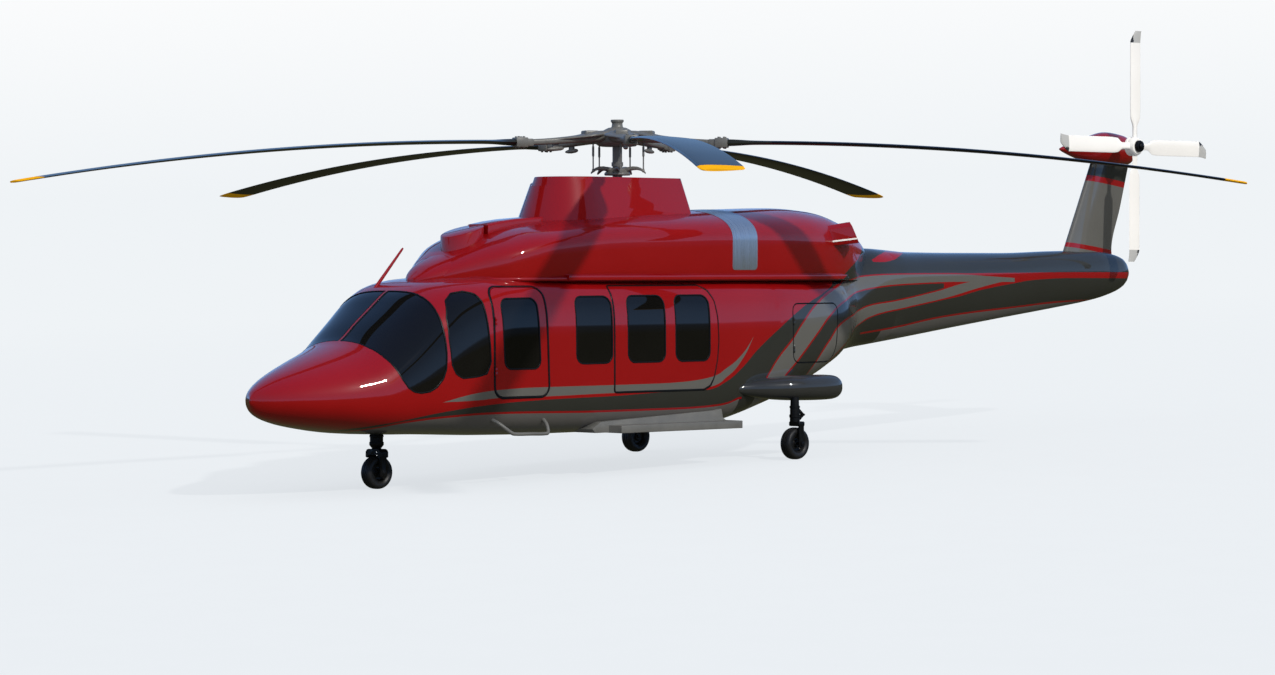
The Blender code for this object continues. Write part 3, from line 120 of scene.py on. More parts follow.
# Body sections: y, half width, bottom, waist, top, lower power, upper power
BODY = (
    (-6.20, 0.030, 0.905, 0.955, 1.00, 2.0, 2.0),
    (-6.16, 0.130, 0.830, 0.950, 1.06, 2.0, 2.0),
    (-6.05, 0.290, 0.750, 0.950, 1.145, 2.1, 2.0),
    (-5.86, 0.475, 0.680, 0.955, 1.25, 2.2, 2.0),
    (-5.60, 0.665, 0.620, 0.960, 1.36, 2.4, 2.05),
    (-5.30, 0.840, 0.570, 0.970, 1.475, 2.6, 2.1),
    (-5.00, 0.965, 0.530, 0.985, 1.585, 2.9, 2.2),
    (-4.80, 1.040, 0.510, 1.000, 1.670, 3.1, 2.3),
    (-4.55, 1.090, 0.500, 1.050, 1.880, 3.4, 2.5),
    (-4.30, 1.130, 0.490, 1.100, 2.080, 3.6, 2.8),
    (-4.03, 1.160, 0.485, 1.150, 2.285, 3.8, 3.2),
    (-3.75, 1.185, 0.475, 1.200, 2.390, 4.0, 3.9),
    (-3.40, 1.205, 0.460, 1.250, 2.440, 4.2, 4.7),
    (-3.00, 1.220, 0.445, 1.300, 2.460, 4.4, 5.3),
    (-2.00, 1.220, 0.430, 1.300, 2.460, 4.6, 5.5),
    (0.40, 1.220, 0.430, 1.300, 2.460, 4.6, 5.5),
    (1.00, 1.220, 0.480, 1.310, 2.460, 4.2, 5.5),
    (1.90, 1.200, 0.670, 1.360, 2.460, 3.3, 5.2),
    (2.40, 1.155, 0.800, 1.430, 2.460, 2.8, 4.8),
    (3.00, 1.070, 0.980, 1.560, 2.470, 2.4, 4.2),
    (3.45, 0.960, 1.140, 1.690, 2.480, 2.2, 3.6),
    (3.80, 0.780, 1.270, 1.840, 2.500, 2.2, 3.0),
    (4.10, 0.600, 1.370, 2.000, 2.600, 2.2, 2.6),
    (4.45, 0.535, 1.435, 2.200, 2.780, 2.3, 2.4),
    (4.80, 0.520, 1.475, 2.360, 2.850, 2.4, 2.3),
    (5.20, 0.500, 1.520, 2.420, 2.830, 2.4, 2.2),
    (5.63, 0.460, 1.570, 2.430, 2.800, 2.4, 2.2),
    (6.72, 0.390, 1.700, 2.450, 2.790, 2.3, 2.1),
    (7.84, 0.330, 1.830, 2.470, 2.790, 2.3, 2.1),
    (8.99, 0.270, 1.960, 2.490, 2.820, 2.2, 2.1),
    (9.94, 0.215, 2.080, 2.490, 2.830, 2.1, 2.0),
    (10.42, 0.165, 2.180, 2.470, 2.780, 2.0, 2.0),
    (10.71, 0.110, 2.290, 2.500, 2.700, 2.0, 2.0),
    (10.84, 0.030, 2.420, 2.490, 2.550, 2.0, 2.0),
)
CABIN_HOLLOW = (-6.02, -5.75, -5.50, -5.25, -5.00, -4.80, -4.60, -4.42, -4.24, -4.06, -3.88, -3.70, -3.45,
                -3.20, -2.85, -1.50, 0.40, 0.75, 1.05, 1.35, 1.65, 1.93)
REAR_HOLLOW = (1.985, 2.2, 2.45, 2.7, 2.95, 3.2, 3.45, 3.65, 3.85, 4.05, 4.25, 4.5, 4.8, 5.1)

# Cowling over the engines, same columns
COWL = (
    (-3.54, 0.12, 2.00, 2.41, 2.44, 2.0, 2.4),
    (-3.45, 0.26, 2.00, 2.44, 2.52, 2.0, 2.4),
    (-3.28, 0.42, 2.00, 2.50, 2.645, 2.2, 2.4),
    (-3.01, 0.64, 2.00, 2.58, 2.80, 2.6, 2.4),
    (-2.62, 0.92, 2.00, 2.70, 2.97, 3.2, 2.4),
    (-2.20, 1.04, 2.00, 2.80, 3.10, 3.6, 2.4),
    (-1.80, 1.065, 2.00, 2.84, 3.16, 3.8, 2.4),
    (-1.00, 1.08, 2.00, 2.90, 3.26, 4.0, 2.4),
    (0.00, 1.09, 2.00, 2.92, 3.32, 4.0, 2.4),
    (1.00, 1.09, 2.00, 2.94, 3.35, 4.0, 2.4),
    (1.95, 1.07, 2.00, 2.94, 3.38, 4.0, 2.4),
    (2.74, 1.00, 2.00, 2.92, 3.40, 4.0, 2.4),
    (3.34, 0.88, 2.00, 2.90, 3.37, 3.8, 2.3),
    (3.80, 0.72, 2.00, 2.86, 3.28, 3.4, 2.2),
    (4.20, 0.53, 2.00, 2.80, 3.13, 3.0, 2.2),
    (4.50, 0.36, 2.00, 2.74, 2.94, 2.6, 2.2),
    (4.62, 0.26, 2.00, 2.70, 2.82, 2.4, 2.2),
)
# Raised middle of the cowling, from its front lip back to the mast fairing
CREST = (
    (-3.62, 0.08, 2.00, 2.41, 2.44, 2.0, 2.2),
    (-3.54, 0.20, 2.00, 2.44, 2.51, 2.0, 2.2),
    (-3.39, 0.33, 2.00, 2.48, 2.62, 2.0, 2.2),
    (-3.20, 0.44, 2.00, 2.53, 2.71, 2.0, 2.2),
    (-2.93, 0.53, 2.00, 2.60, 2.815, 2.0, 2.2),
    (-2.62, 0.56, 2.00, 2.66, 2.92, 2.0, 2.3),
    (-2.30, 0.52, 2.00, 2.72, 3.05, 2.0, 2.4),
    (-2.00, 0.48, 2.00, 2.76, 3.13, 2.0, 2.5),
    (-1.20, 0.42, 2.00, 2.82, 3.24, 2.0, 2.8),
)

# Fairing over the tail gearbox, same columns
TAIL_POD = (
    (9.22, 0.015, 4.345, 4.36, 4.375, 2.0, 2.0),
    (9.32, 0.060, 4.310, 4.36, 4.41, 2.0, 2.0),
    (9.60, 0.130, 4.230, 4.36, 4.48, 2.0, 2.0),
    (9.95, 0.195, 4.165, 4.38, 4.58, 2.1, 2.1),
    (10.27, 0.225, 4.145, 4.39, 4.64, 2.2, 2.2),
    (10.60, 0.205, 4.140, 4.38, 4.61, 2.2, 2.2),
    (10.84, 0.140, 4.160, 4.36, 4.54, 2.1, 2.1),
    (10.94, 0.040, 4.260, 4.34, 4.42, 2.0, 2.0),
)

# Main gear sponson: y, centre x, half width, centre z, half height
SPONSON = (
    (1.00, 1.120, 0.050, 0.950, 0.040),
    (1.22, 1.165, 0.110, 0.950, 0.085),
    (1.50, 1.270, 0.215, 0.950, 0.135),
    (1.85, 1.385, 0.280, 0.955, 0.166),
    (2.25, 1.440, 0.250, 0.955, 0.172),
    (2.50, 1.470, 0.200, 0.955, 0.168),
    (2.60, 1.476, 0.170, 0.955, 0.156),
    (2.67, 1.480, 0.132, 0.955, 0.126),
    (2.71, 1.482, 0.095, 0.955, 0.092),
    (2.733, 1.484, 0.055, 0.955, 0.053),
    (2.742, 1.485, 0.022, 0.955, 0.021),
)

# Tail fin: height, leading edge, trailing edge, thickness
FIN = (
    (2.62, 9.22, 10.49, 0.17),
    (2.84, 9.32, 10.45, 0.16),
    (3.50, 9.64, 10.66, 0.145),
    (4.27, 10.01, 10.90, 0.13),
)

# Main blade: distance out, chord, thickness, sweep towards the trailing edge
BLADE = (
    (BLADE_ROOT, 0.14, 0.090, 0.0),
    (1.62, 0.16, 0.080, 0.0),
    (1.85, 0.34, 0.055, 0.035),
    (2.10, 0.52, 0.050, 0.06),
    (3.20, 0.54, 0.048, 0.06),
    (4.40, 0.54, 0.046, 0.06),
    (5.60, 0.54, 0.042, 0.06),
    (6.70, 0.54, 0.038, 0.06),
    (7.60, 0.54, 0.034, 0.06),
    (7.95, 0.54, 0.034, 0.06),
    (8.20, 0.52, 0.032, 0.06),
    (8.28, 0.47, 0.030, 0.06),
    (ROTOR_RADIUS, 0.38, 0.024, 0.06),
)

# Tail blade: distance out, chord, thickness, sweep towards the trailing edge
TAIL_BLADE = (
    (0.10, 0.10, 0.045, 0.0),
    (0.30, 0.10, 0.040, 0.0),
    (0.42, 0.22, 0.034, 0.0),
    (0.60, 0.24, 0.030, 0.0),
    (1.10, 0.24, 0.027, 0.0),
    (1.57, 0.24, 0.024, 0.0),
    (1.66, 0.20, 0.020, 0.03),
    (1.751, 0.14, 0.012, 0.08),
)

# Hub arm: distance out, half width, half height, height
ARM = (
    (0.05, 0.12, 0.070, 4.330),
    (0.18, 0.15, 0.078, 4.330),
    (0.32, 0.155, 0.076, 4.325),
    (0.46, 0.135, 0.066, 4.308),
    (0.60, 0.105, 0.052, 4.290),
    (0.80, 0.082, 0.046, 4.270),
    (1.05, 0.066, 0.042, 4.250),
    (1.28, 0.058, 0.040, 4.238),
)

# Openings in the side, seen from the side: corners as (y, z), then the corner radius
SCREEN_FRONT = -4.80
SCREEN_BACK = -4.022
WINDSCREEN = (((SCREEN_FRONT, 2.70), (SCREEN_FRONT, 1.60), (-4.765, 1.475), (-4.71, 1.334), (-4.655, 1.20),
               (-4.58, 1.095), (-4.50, 1.045), (-4.40, 1.03), (-4.28, 1.045), (-4.17, 1.10), (-4.08, 1.195),
               (-4.03, 1.32), (-4.018, 1.50), (-4.03, 2.03), (-4.02, 2.70)), 0.03)
QUARTER_WINDOW = (((-3.87, 2.17), (-3.75, 2.262), (-3.59, 2.287), (-3.47, 2.254), (-3.41, 2.156), (-3.385, 1.95),
                   (-3.345, 1.60), (-3.335, 1.39), (-3.40, 1.25), (-3.56, 1.215), (-3.78, 1.20), (-3.885, 1.255),
                   (-3.945, 1.37), (-3.97, 1.68), (-3.95, 1.95)), 0.05)
CREW_DOOR = (((-3.262, 0.955), (-2.37, 0.955), (-2.42, 2.325), (-3.262, 2.325)), 0.13)
CREW_WINDOW = (((-3.11, 1.30), (-2.50, 1.295), (-2.545, 2.195), (-3.15, 2.19)), 0.11)
CABIN_WINDOW = (((-1.885, 1.345), (-1.25, 1.345), (-1.25, 2.21), (-1.885, 2.21)), 0.12)
SLIDING_DOOR = (((-1.205, 0.972), (0.42, 0.972), (0.53, 1.02), (0.60, 1.13), (0.66, 1.36), (0.685, 1.60),
                 (0.672, 1.90), (0.63, 2.14), (0.56, 2.27), (0.45, 2.335), (-1.205, 2.335)), 0.022)
DOOR_WINDOW_FRONT = (((-0.97, 1.345), (-0.295, 1.345), (-0.295, 2.215), (-0.97, 2.215)), 0.12)
DOOR_WINDOW_REAR = (((-0.105, 1.345), (0.53, 1.345), (0.53, 2.215), (-0.105, 2.215)), 0.12)
BAGGAGE_DOOR = (((2.175, 1.29), (3.15, 1.29), (3.22, 2.08), (2.175, 2.08)), 0.11)

# Edges of the paint scheme on the side, as (y, z)
RED_EDGE = ((-5.6, .45), (-5.1, .60), (-4.641, .688), (-4.032, .789), (-3.18, .871), (-2.339, .903),
            (-1.157, .921), (-.292, .95), (.512, .96), (.843, 1.064), (1.135, 1.238), (1.432, 1.471),
            (1.84, 1.732), (2.17, 1.922), (2.55, 2.097), (2.97, 2.232), (3.27, 2.33), (3.46, 2.404),
            (3.80, 2.571), (4.13, 2.706), (4.31, 2.848), (4.5, 3.1), (5.0, 3.5))
BELLY_EDGE = ((-5.3, .48), (-4.9, .60), (-4.504, .68), (-3.9, .73), (-3.237, .752), (-1.5, .727),
              (-.17, .725), (.685, .748), (1.114, .835))
SWOOSH_TOP = ((-4.087, .909), (-3.552, 1.012), (-3.191, 1.044), (-2.346, 1.062), (-1.162, 1.061),
              (-.213, 1.065), (.482, 1.116), (.858, 1.248), (1.145, 1.426), (1.364, 1.656))
SWOOSH_BOTTOM = ((-4.087, .909), (-3.547, .921), (-3.186, .943), (-2.341, .944), (-1.158, .957),
                 (-.208, .954), (.485, .99), (.858, 1.131), (1.145, 1.359), (1.364, 1.656))
UPPER_STRIPE_TOP = ((1.48, .9), (1.62, 1.077), (1.86, 1.352), (2.17, 1.607), (2.39, 1.817), (2.78, 2.092),
                    (3.25, 2.264), (4.08, 2.421), (4.69, 2.467), (6.15, 2.477), (7.79, 2.42))
UPPER_STRIPE_BOTTOM = ((1.50, .55), (1.80, .93), (1.99, 1.114), (2.27, 1.333), (2.74, 1.714), (3.05, 1.949),
                       (3.36, 2.096), (4.06, 2.24), (4.67, 2.314), (5.55, 2.354), (6.69, 2.367), (7.8, 2.36))
LOWER_STRIPE_TOP = ((2.46, .90), (2.60, 1.136), (2.72, 1.292), (3.0, 1.56), (3.39, 1.82), (3.98, 1.939),
                    (4.4, 2.034), (4.97, 2.095), (5.86, 2.218), (6.75, 2.369), (7.79, 2.42))
LOWER_STRIPE_BOTTOM = ((2.62, .65), (2.84, .98), (3.0, 1.163), (3.31, 1.42), (3.77, 1.65), (4.12, 1.775),
                       (4.52, 1.902), (5.28, 2.014), (6.17, 2.137), (7.06, 2.3), (7.79, 2.407))
BOOM_BAND_TOP = ((4.268, 2.446), (5.012, 2.484), (6.202, 2.489), (7.998, 2.497), (9.243, 2.502), (10.657, 2.50))
BOOM_BAND_BOTTOM = ((4.268, 2.0), (6.1, 2.11), (7.05, 2.255), (7.787, 2.343), (8.285, 2.39), (9.234, 2.414),
                    (10.68, 2.406))
BOOM_LOW_LINE = ((3.6, 1.58), (3.93, 1.62), (5.045, 1.729), (6.226, 1.88), (8.062, 2.012), (9.0, 2.07), (9.9, 2.09))
CRESCENT_LOW = ((4.5, 2.66), (4.75, 2.653), (4.96, 2.672), (5.26, 2.741), (5.7, 2.83))
CRESCENT_TOP = ((4.5, 2.665), (4.63, 2.698), (4.8, 2.754), (5.15, 2.82), (5.7, 2.9))


# ---------------------------------------------------------------- sizes and colours to change

def colour(name, description, value):
    """A paint or material colour, as linear red, green and blue."""
    return FloatVectorProperty(name=name, description=description, default=value, subtype="COLOR",
                               size=3, min=0.0, max=1.0)


def amount(name, description, value, high):
    """A plain strength from zero up."""
    return FloatProperty(name=name, description=description, default=value, min=0.0, max=high)


def length(name, description, value, low=0.0, high=1.0):
    """A size in metres."""
    return FloatProperty(name=name, description=description, default=value, min=low, max=high,
                         subtype="DISTANCE", unit="LENGTH")


class PaintColours(bpy.types.PropertyGroup):
    """Colours of the paint scheme and of the finishes."""
    red: colour("Red", "Upper body, doors and cowling", (0.250, 0.0025, 0.0035))
    charcoal: colour("Charcoal", "Lower sweep, rear body and boom", (0.026, 0.027, 0.023))
    belly_grey: colour("Belly grey", "Belly and underside of the boom", (0.105, 0.100, 0.095))
    stripe_grey: colour("Stripe grey", "Swoosh and stripes", (0.110, 0.110, 0.103))
    hub_grey: colour("Hub grey", "Rotor hub, swashplate and boarding steps", (0.145, 0.146, 0.138))
    blade_dark: colour("Blade dark", "Main blades", (0.020, 0.022, 0.018))
    tip_yellow: colour("Tip yellow", "Bands at the ends of the main blades", (0.80, 0.40, 0.012))
    tail_white: colour("Tail white", "Tail rotor blades", (0.90, 0.90, 0.89))
    glass_tint: colour("Glass tint", "Windows", (0.0055, 0.0052, 0.0046))
    fin_grey: colour("Fin grey", "Side of the tail fin", (0.115, 0.115, 0.108))
    sponson_grey: colour("Sponson grey", "Main gear sponsons", (0.030, 0.031, 0.030))
    clear_coat: FloatProperty(name="Clear coat", description="Strength of the lacquer over the paint",
                              default=1.0, min=0.0, max=1.0, subtype="FACTOR")


class TrimSizes(bpy.types.PropertyGroup):
    """Sizes of the rubber round doors and windows, and of the glass."""
    door_seal: length("Door seal", "Width of the rubber round the doors", 0.029, 0.005, 0.06)
    window_seal: length("Window seal", "Width of the rubber round the windows", 0.020, 0.005, 0.05)
    hatch_seal: length("Hatch seal", "Width of the rubber round the baggage door", 0.013, 0.004, 0.04)
    seal_height: length("Seal height", "How far the rubber stands proud", 0.0045, 0.001, 0.01)
    glass_depth: length("Glass depth", "How far the glass lies below the skin", 0.006, 0.0, 0.02)
    glass_thickness: length("Glass thickness", "Thickness of the glass", 0.010, 0.003, 0.02)


class FormDetail(bpy.types.PropertyGroup):
    """How finely the curved forms are cut."""
    ring_steps: IntProperty(name="Ring steps", description="Faces in a quarter of a body ring",
                            default=16, min=6, max=24)
    turn_steps: IntProperty(name="Turn steps", description="Faces round a turned part",
                            default=64, min=16, max=128)


# ---------------------------------------------------------------- shapes of the forms

def along(table, y):
    """Smooth values of a section table at y, without overshoot between its rows."""
    if y <= table[0][0]:
        return table[0][1:]
    if y >= table[-1][0]:
        return table[-1][1:]
    i = max(k for k in range(len(table) - 1) if table[k][0] <= y)
    low = table[i]
    high = table[i + 1]
    span = high[0] - low[0]
    t = (y - low[0]) / span
    values = []
    for c in range(1, len(low)):
        slope = (high[c] - low[c]) / span
        slope_low = slope
        slope_high = slope
        if i > 0:
            before = (low[c] - table[i - 1][c]) / (low[0] - table[i - 1][0])
            slope_low = 2 * before * slope / (before + slope) if before * slope > 0 else 0.0
        if i + 2 < len(table):
            after = (table[i + 2][c] - high[c]) / (table[i + 2][0] - high[0])
            slope_high = 2 * after * slope / (after + slope) if after * slope > 0 else 0.0
        values.append(low[c] * (2 * t**3 - 3 * t**2 + 1) + high[c] * (3 * t**2 - 2 * t**3)
                      + span * (slope_low * (t**3 - 2 * t**2 + t) + slope_high * (t**3 - t**2)))
    return values


def section(table, y, steps, inset=0.0):
    """One ring of a rounded body, its points closer together round the corners."""
    width, bottom, waist, top, low_power, high_power = along(table, y)
    fine = np.linspace(0.0, math.pi / 2, 97)
    ring = []
    for quarter in range(4):
        upper = quarter < 2
        height = top - waist if upper else waist - bottom
        power = 2 / (high_power if upper else low_power)
        angle = fine[::-1] if quarter in (1, 3) else fine
        x = width * np.maximum(np.cos(angle), 0.0) ** power
        z = height * np.maximum(np.sin(angle), 0.0) ** power
        dx = np.diff(x)
        dz = np.diff(z)
        run = np.concatenate(([0.0], np.cumsum(np.hypot(dx, dz))))
        heading = np.arctan2(dz, dx)
        bend = np.concatenate(([0.0], np.cumsum(np.abs(np.diff(heading))), [0.0]))
        bend[-1] = bend[-2]
        measure = run / run[-1] + bend / max(bend[-1], 1e-9)
        goal = 2.0 * np.arange(steps) / steps
        px = np.interp(goal, measure, x)
        pz = np.interp(goal, measure, z)
        across = 1.0 if quarter in (0, 3) else -1.0
        rise = 1.0 if upper else -1.0
        ring += [Vector((across * a, y, waist + rise * b)) for a, b in zip(px, pz)]
    return shrunk(ring, inset) if inset else ring


def shrunk(ring, inset):
    """Move a ring of points inwards in its own plane across Y."""
    out = []
    for k, spot in enumerate(ring):
        step = ring[(k + 1) % len(ring)] - ring[k - 1]
        out.append(spot - Vector((step.z, 0.0, -step.x)).normalized() * inset)
    return out


def wall_at(y):
    """Thickness of the body's wall, thin in the boom."""
    share = min(max((y - 2.0) / 2.6, 0.0), 1.0)
    return WALL + (BOOM_WALL - WALL) * share


def spaced(*parts):
    """Stations given as start, spacing, next start, spacing and so on, up to and with the last number."""
    spots = []
    for low, spacing, high in zip(parts[::2], parts[1::2], parts[2::2]):
        count = max(1, round((high - low) / spacing))
        spots += [low + (high - low) * k / count for k in range(count)]
    return spots + [parts[-1]]


BODY_STATIONS = spaced(-6.20, 0.04, -6.0, 0.07, -5.05, 0.07, -3.31, 0.16, -2.0, 0.5, 0.4, 0.12, 1.9, 0.11, 5.05,
                       0.26, 9.9, 0.08, 10.84)
COWL_STATIONS = spaced(-3.54, 0.03, -3.28, 0.06, -2.5, 0.12, -1.4, 0.28, 1.4, 0.12, 4.2, 0.05, 4.62)


def circle(sides, power=1.0):
    """Points round a circle of radius one; a power below one squares it off."""
    spots = []
    for k in range(sides):
        c = math.cos(2 * math.pi * k / sides)
        s = math.sin(2 * math.pi * k / sides)
        spots.append((math.copysign(abs(c) ** power, c), math.copysign(abs(s) ** power, s)))
    return spots


def wing_section(thick, edge, sides):
    """Points round a symmetrical wing section: share of the chord, then height, with its edges a little blunt."""
    spots = []
    for k in range(sides):
        angle = 2 * math.pi * k / sides
        share = (1 - math.cos(angle)) / 2
        height = thick * (5 * (0.2969 * math.sqrt(share) - 0.126 * share - 0.3516 * share**2
                               + 0.2843 * share**3 - 0.1036 * share**4)) + edge
        spots.append((share, math.copysign(height, math.sin(angle)) if k % (sides // 2) else 0.0))
    return spots


def reach_at(table, y, z):
    """Half width of a form at a height."""
    width, bottom, waist, top, low_power, high_power = along(table, y)
    height, power = (top - waist, high_power) if z > waist else (waist - bottom, low_power)
    return width * (1 - min(abs(z - waist) / height, 1.0) ** power) ** (1 / power)


def crown_at(table, y, x):
    """Height of a form's upper side at a distance off its middle."""
    width, bottom, waist, top, low_power, high_power = along(table, y)
    return waist + (top - waist) * (1 - min(abs(x) / width, 1.0) ** high_power) ** (1 / high_power)


def outward(table, spot):
    """Direction straight out of a form at a point on it."""
    def depth(x, y, z):
        width, bottom, waist, top, low_power, high_power = along(table, y)
        height, power = (top - waist, high_power) if z > waist else (waist - bottom, low_power)
        return (abs(x) / width) ** power + (abs(z - waist) / height) ** power
    x, y, z = spot
    step = 0.002
    return Vector((depth(x + step, y, z) - depth(x - step, y, z),
                   depth(x, y + step, z) - depth(x, y - step, z),
                   depth(x, y, z + step) - depth(x, y, z - step))).normalized()


def rounded(corners, radius, steps=8):
    """Round the corners of a flat outline."""
    out = []
    count = len(corners)
    for k in range(count):
        here = Vector(corners[k])
        back = (Vector(corners[k - 1]) - here).normalized()
        ahead = (Vector(corners[(k + 1) % count]) - here).normalized()
        half = back.angle(ahead) / 2
        centre = here + (back + ahead).normalized() * (radius / math.sin(half))
        first = here + back * (radius / math.tan(half)) - centre
        sweep = math.pi - 2 * half
        turn = -1.0 if back.x * ahead.y - back.y * ahead.x > 0 else 1.0
        for s in range(steps + 1):
            out.append(centre + Matrix.Rotation(turn * sweep * s / steps, 2) @ first)
    return out


def grown(corners, amount):
    """Move every side of a flat outline outwards."""
    count = len(corners)
    area = sum(corners[k][0] * corners[(k + 1) % count][1] - corners[(k + 1) % count][0] * corners[k][1]
               for k in range(count))
    sign = 1.0 if area > 0 else -1.0
    out = []
    for k in range(count):
        here = Vector(corners[k])
        before = (here - Vector(corners[k - 1])).normalized()
        after = (Vector(corners[(k + 1) % count]) - here).normalized()
        normal_a = Vector((before.y, -before.x)) * sign
        normal_b = Vector((after.y, -after.x)) * sign
        mid = (normal_a + normal_b).normalized()
        out.append(here + mid * (amount / mid.dot(normal_a)))
    return out


def even_steps(points, spacing):
    """Points at even steps along a closed line."""
    points = [Vector(p) for p in points]
    points.append(points[0].copy())
    run = [0.0]
    for a, b in zip(points, points[1:]):
        run.append(run[-1] + (b - a).length)
    count = max(12, round(run[-1] / spacing))
    goal = np.linspace(0.0, run[-1], count, endpoint=False)
    columns = [np.interp(goal, run, [p[c] for p in points]) for c in range(3)]
    return [Vector(spot) for spot in zip(*columns)]


# ---------------------------------------------------------------- work on meshes

def deselect():
    """Leave the editor in object mode with nothing selected."""
    if bpy.context.object and bpy.context.object.mode != "OBJECT":
        bpy.ops.object.mode_set(mode="OBJECT")
    bpy.ops.object.select_all(action="DESELECT")


def pick(obj):
    """Make one object the only one selected, and active."""
    deselect()
    obj.select_set(True)
    bpy.context.view_layer.objects.active = obj
    return obj


@contextmanager
def editing(obj):
    """Work on all of an object's mesh in edit mode."""
    pick(obj)
    bpy.ops.object.mode_set(mode="EDIT")
    bpy.ops.mesh.select_all(action="SELECT")
    yield obj
    bpy.ops.object.mode_set(mode="OBJECT")


@contextmanager
def editing_edges(obj, numbers):
    """Work on some edges of an object's mesh in edit mode."""
    with editing(obj):
        bpy.ops.mesh.select_mode(type="EDGE")
        bpy.ops.mesh.select_all(action="DESELECT")
        bpy.ops.object.mode_set(mode="OBJECT")
        for number in numbers:
            obj.data.edges[number].select = True
        bpy.ops.object.mode_set(mode="EDIT")
        yield obj


def fresh(name):
    """Name the primitive that was just added."""
    obj = bpy.context.object
    obj.name = name
    obj.data.name = name
    return obj


def place(obj, spots):
    """Put an object's vertices at their places, in order."""
    flat = np.array([tuple(spot) for spot in spots], dtype=np.float32)
    if len(flat) != len(obj.data.vertices):
        raise RuntimeError(f"{obj.name}: {len(flat)} places for {len(obj.data.vertices)} vertices")
    obj.location = (0.0, 0.0, 0.0)
    obj.rotation_euler = (0.0, 0.0, 0.0)
    obj.scale = (1.0, 1.0, 1.0)
    obj.data.vertices.foreach_set("co", flat.ravel())
    obj.data.update()
    return obj


def tidy_mesh(obj):
    """Merge doubles, close open ends and turn the faces outwards."""
    with editing(obj):
        bpy.ops.mesh.remove_doubles(threshold=0.00001)
        bpy.ops.mesh.fill_holes(sides=0)
        bpy.ops.mesh.select_all(action="SELECT")
        bpy.ops.mesh.normals_make_consistent(inside=False)
    return obj


def wrapped(name, rings):
    """A grid wrapped round so that each of its rows is a ring, closed at both ends."""
    columns = len(rings[0])
    deselect()
    bpy.ops.mesh.primitive_grid_add(x_subdivisions=columns, y_subdivisions=len(rings) - 1, size=1.0)
    obj = fresh(name)
    place(obj, [spot for ring in rings for spot in list(ring) + [ring[0]]])
    return tidy_mesh(obj)


def form(name, table, stations, steps, inset=0.0, by_wall=False):
    """A rounded body through the given stations."""
    return wrapped(name, [section(table, y, steps, (wall_at(y) if by_wall else 0.0) + inset)
                          for y in stations])


def prism(name, outline, place_in, run):
    """A flat outline made solid: place_in turns (a, b) into a point, run is the way it is extruded."""
    deselect()
    bpy.ops.mesh.primitive_circle_add(vertices=len(outline), fill_type="NGON")
    obj = fresh(name)
    place(obj, [place_in(*spot) for spot in outline])
    with editing(obj):
        bpy.ops.mesh.extrude_region_move(TRANSFORM_OT_translate={"value": run})
        bpy.ops.mesh.select_all(action="SELECT")
        bpy.ops.mesh.normals_make_consistent(inside=False)
    return obj


def side_prism(name, shape, grow=0.0, low=-2.0, high=2.0, steps=8):
    """A prism across the machine with a rounded outline seen from the side."""
    corners, radius = shape
    outline = rounded(grown(corners, grow), max(radius + grow, 0.002), steps)
    return prism(name, outline, lambda y, z: (low, y, z), (high - low, 0.0, 0.0))


def block(name, low, high, bevel=0.0, segments=2):
    """A box between two corners, with rounded edges if asked."""
    deselect()
    size = Vector(high) - Vector(low)
    bpy.ops.mesh.primitive_cube_add(size=1.0, location=(Vector(high) + Vector(low)) / 2, scale=size)
    obj = fresh(name)
    bpy.ops.object.transform_apply(location=True, rotation=True, scale=True)
    if bevel:
        with editing(obj):
            bpy.ops.mesh.bevel(offset=bevel, segments=segments, profile=0.5, affect="EDGES")
    return obj


def rod(name, start, end, radius, sides=32, bevel=0.0):
    """A round bar between two points, with a small chamfer at its ends if asked."""
    start = Vector(start)
    end = Vector(end)
    run = end - start
    deselect()
    bpy.ops.mesh.primitive_cone_add(vertices=sides, radius1=radius, radius2=radius, depth=run.length,
                                    end_fill_type="NGON")
    obj = fresh(name)
    if bevel:
        ends = []
        for edge in obj.data.edges:
            first, second = (obj.data.vertices[number].co.z for number in edge.vertices)
            if abs(abs(first) - run.length / 2) < 1e-5 and abs(first - second) < 1e-5:
                ends.append(edge.index)
        with editing_edges(obj, ends):
            bpy.ops.mesh.bevel(offset=bevel, segments=2, affect="EDGES")
    turn = run.to_track_quat("Z", "Y").to_matrix().to_4x4()
    obj.data.transform(Matrix.Translation((start + end) / 2) @ turn)
    return obj


def turned(name, profile, steps, frame_matrix=None, closed=False):
    """Turn a profile of (along, out) about Z; it ends on the axis unless it is closed."""
    deselect()
    bpy.ops.mesh.primitive_circle_add(vertices=len(profile), fill_type="NOTHING")
    obj = fresh(name)
    place(obj, [(out, 0.0, up) for up, out in profile])
    if not closed:
        last = len(profile) - 1
        with editing_edges(obj, [edge.index for edge in obj.data.edges if set(edge.vertices) == {0, last}]):
            bpy.ops.mesh.delete(type="EDGE")
    with editing(obj):
        bpy.ops.mesh.spin(steps=steps, angle=2 * math.pi, center=(0, 0, 0), axis=(0, 0, 1))
    tidy_mesh(obj)
    if frame_matrix:
        obj.data.transform(frame_matrix)
    return obj


def swept(name, path, sides, normals, half_width, proud, sink, widths=None):
    """A rounded bead laid along a closed path on a surface."""
    deselect()
    bpy.ops.mesh.primitive_torus_add(major_segments=len(path), minor_segments=sides)
    obj = fresh(name)
    spots = []
    for k, spot in enumerate(path):
        run = (path[(k + 1) % len(path)] - path[k - 1]).normalized()
        across = run.cross(normals[k]).normalized()
        wide = half_width if widths is None else widths[k]
        for side, rise in circle(sides, 0.7):
            spots.append(spot + across * (wide * side) + normals[k] * (rise * (proud if rise > 0 else sink)))
    place(obj, spots)
    with editing(obj):
        bpy.ops.mesh.normals_make_consistent(inside=False)
    return obj


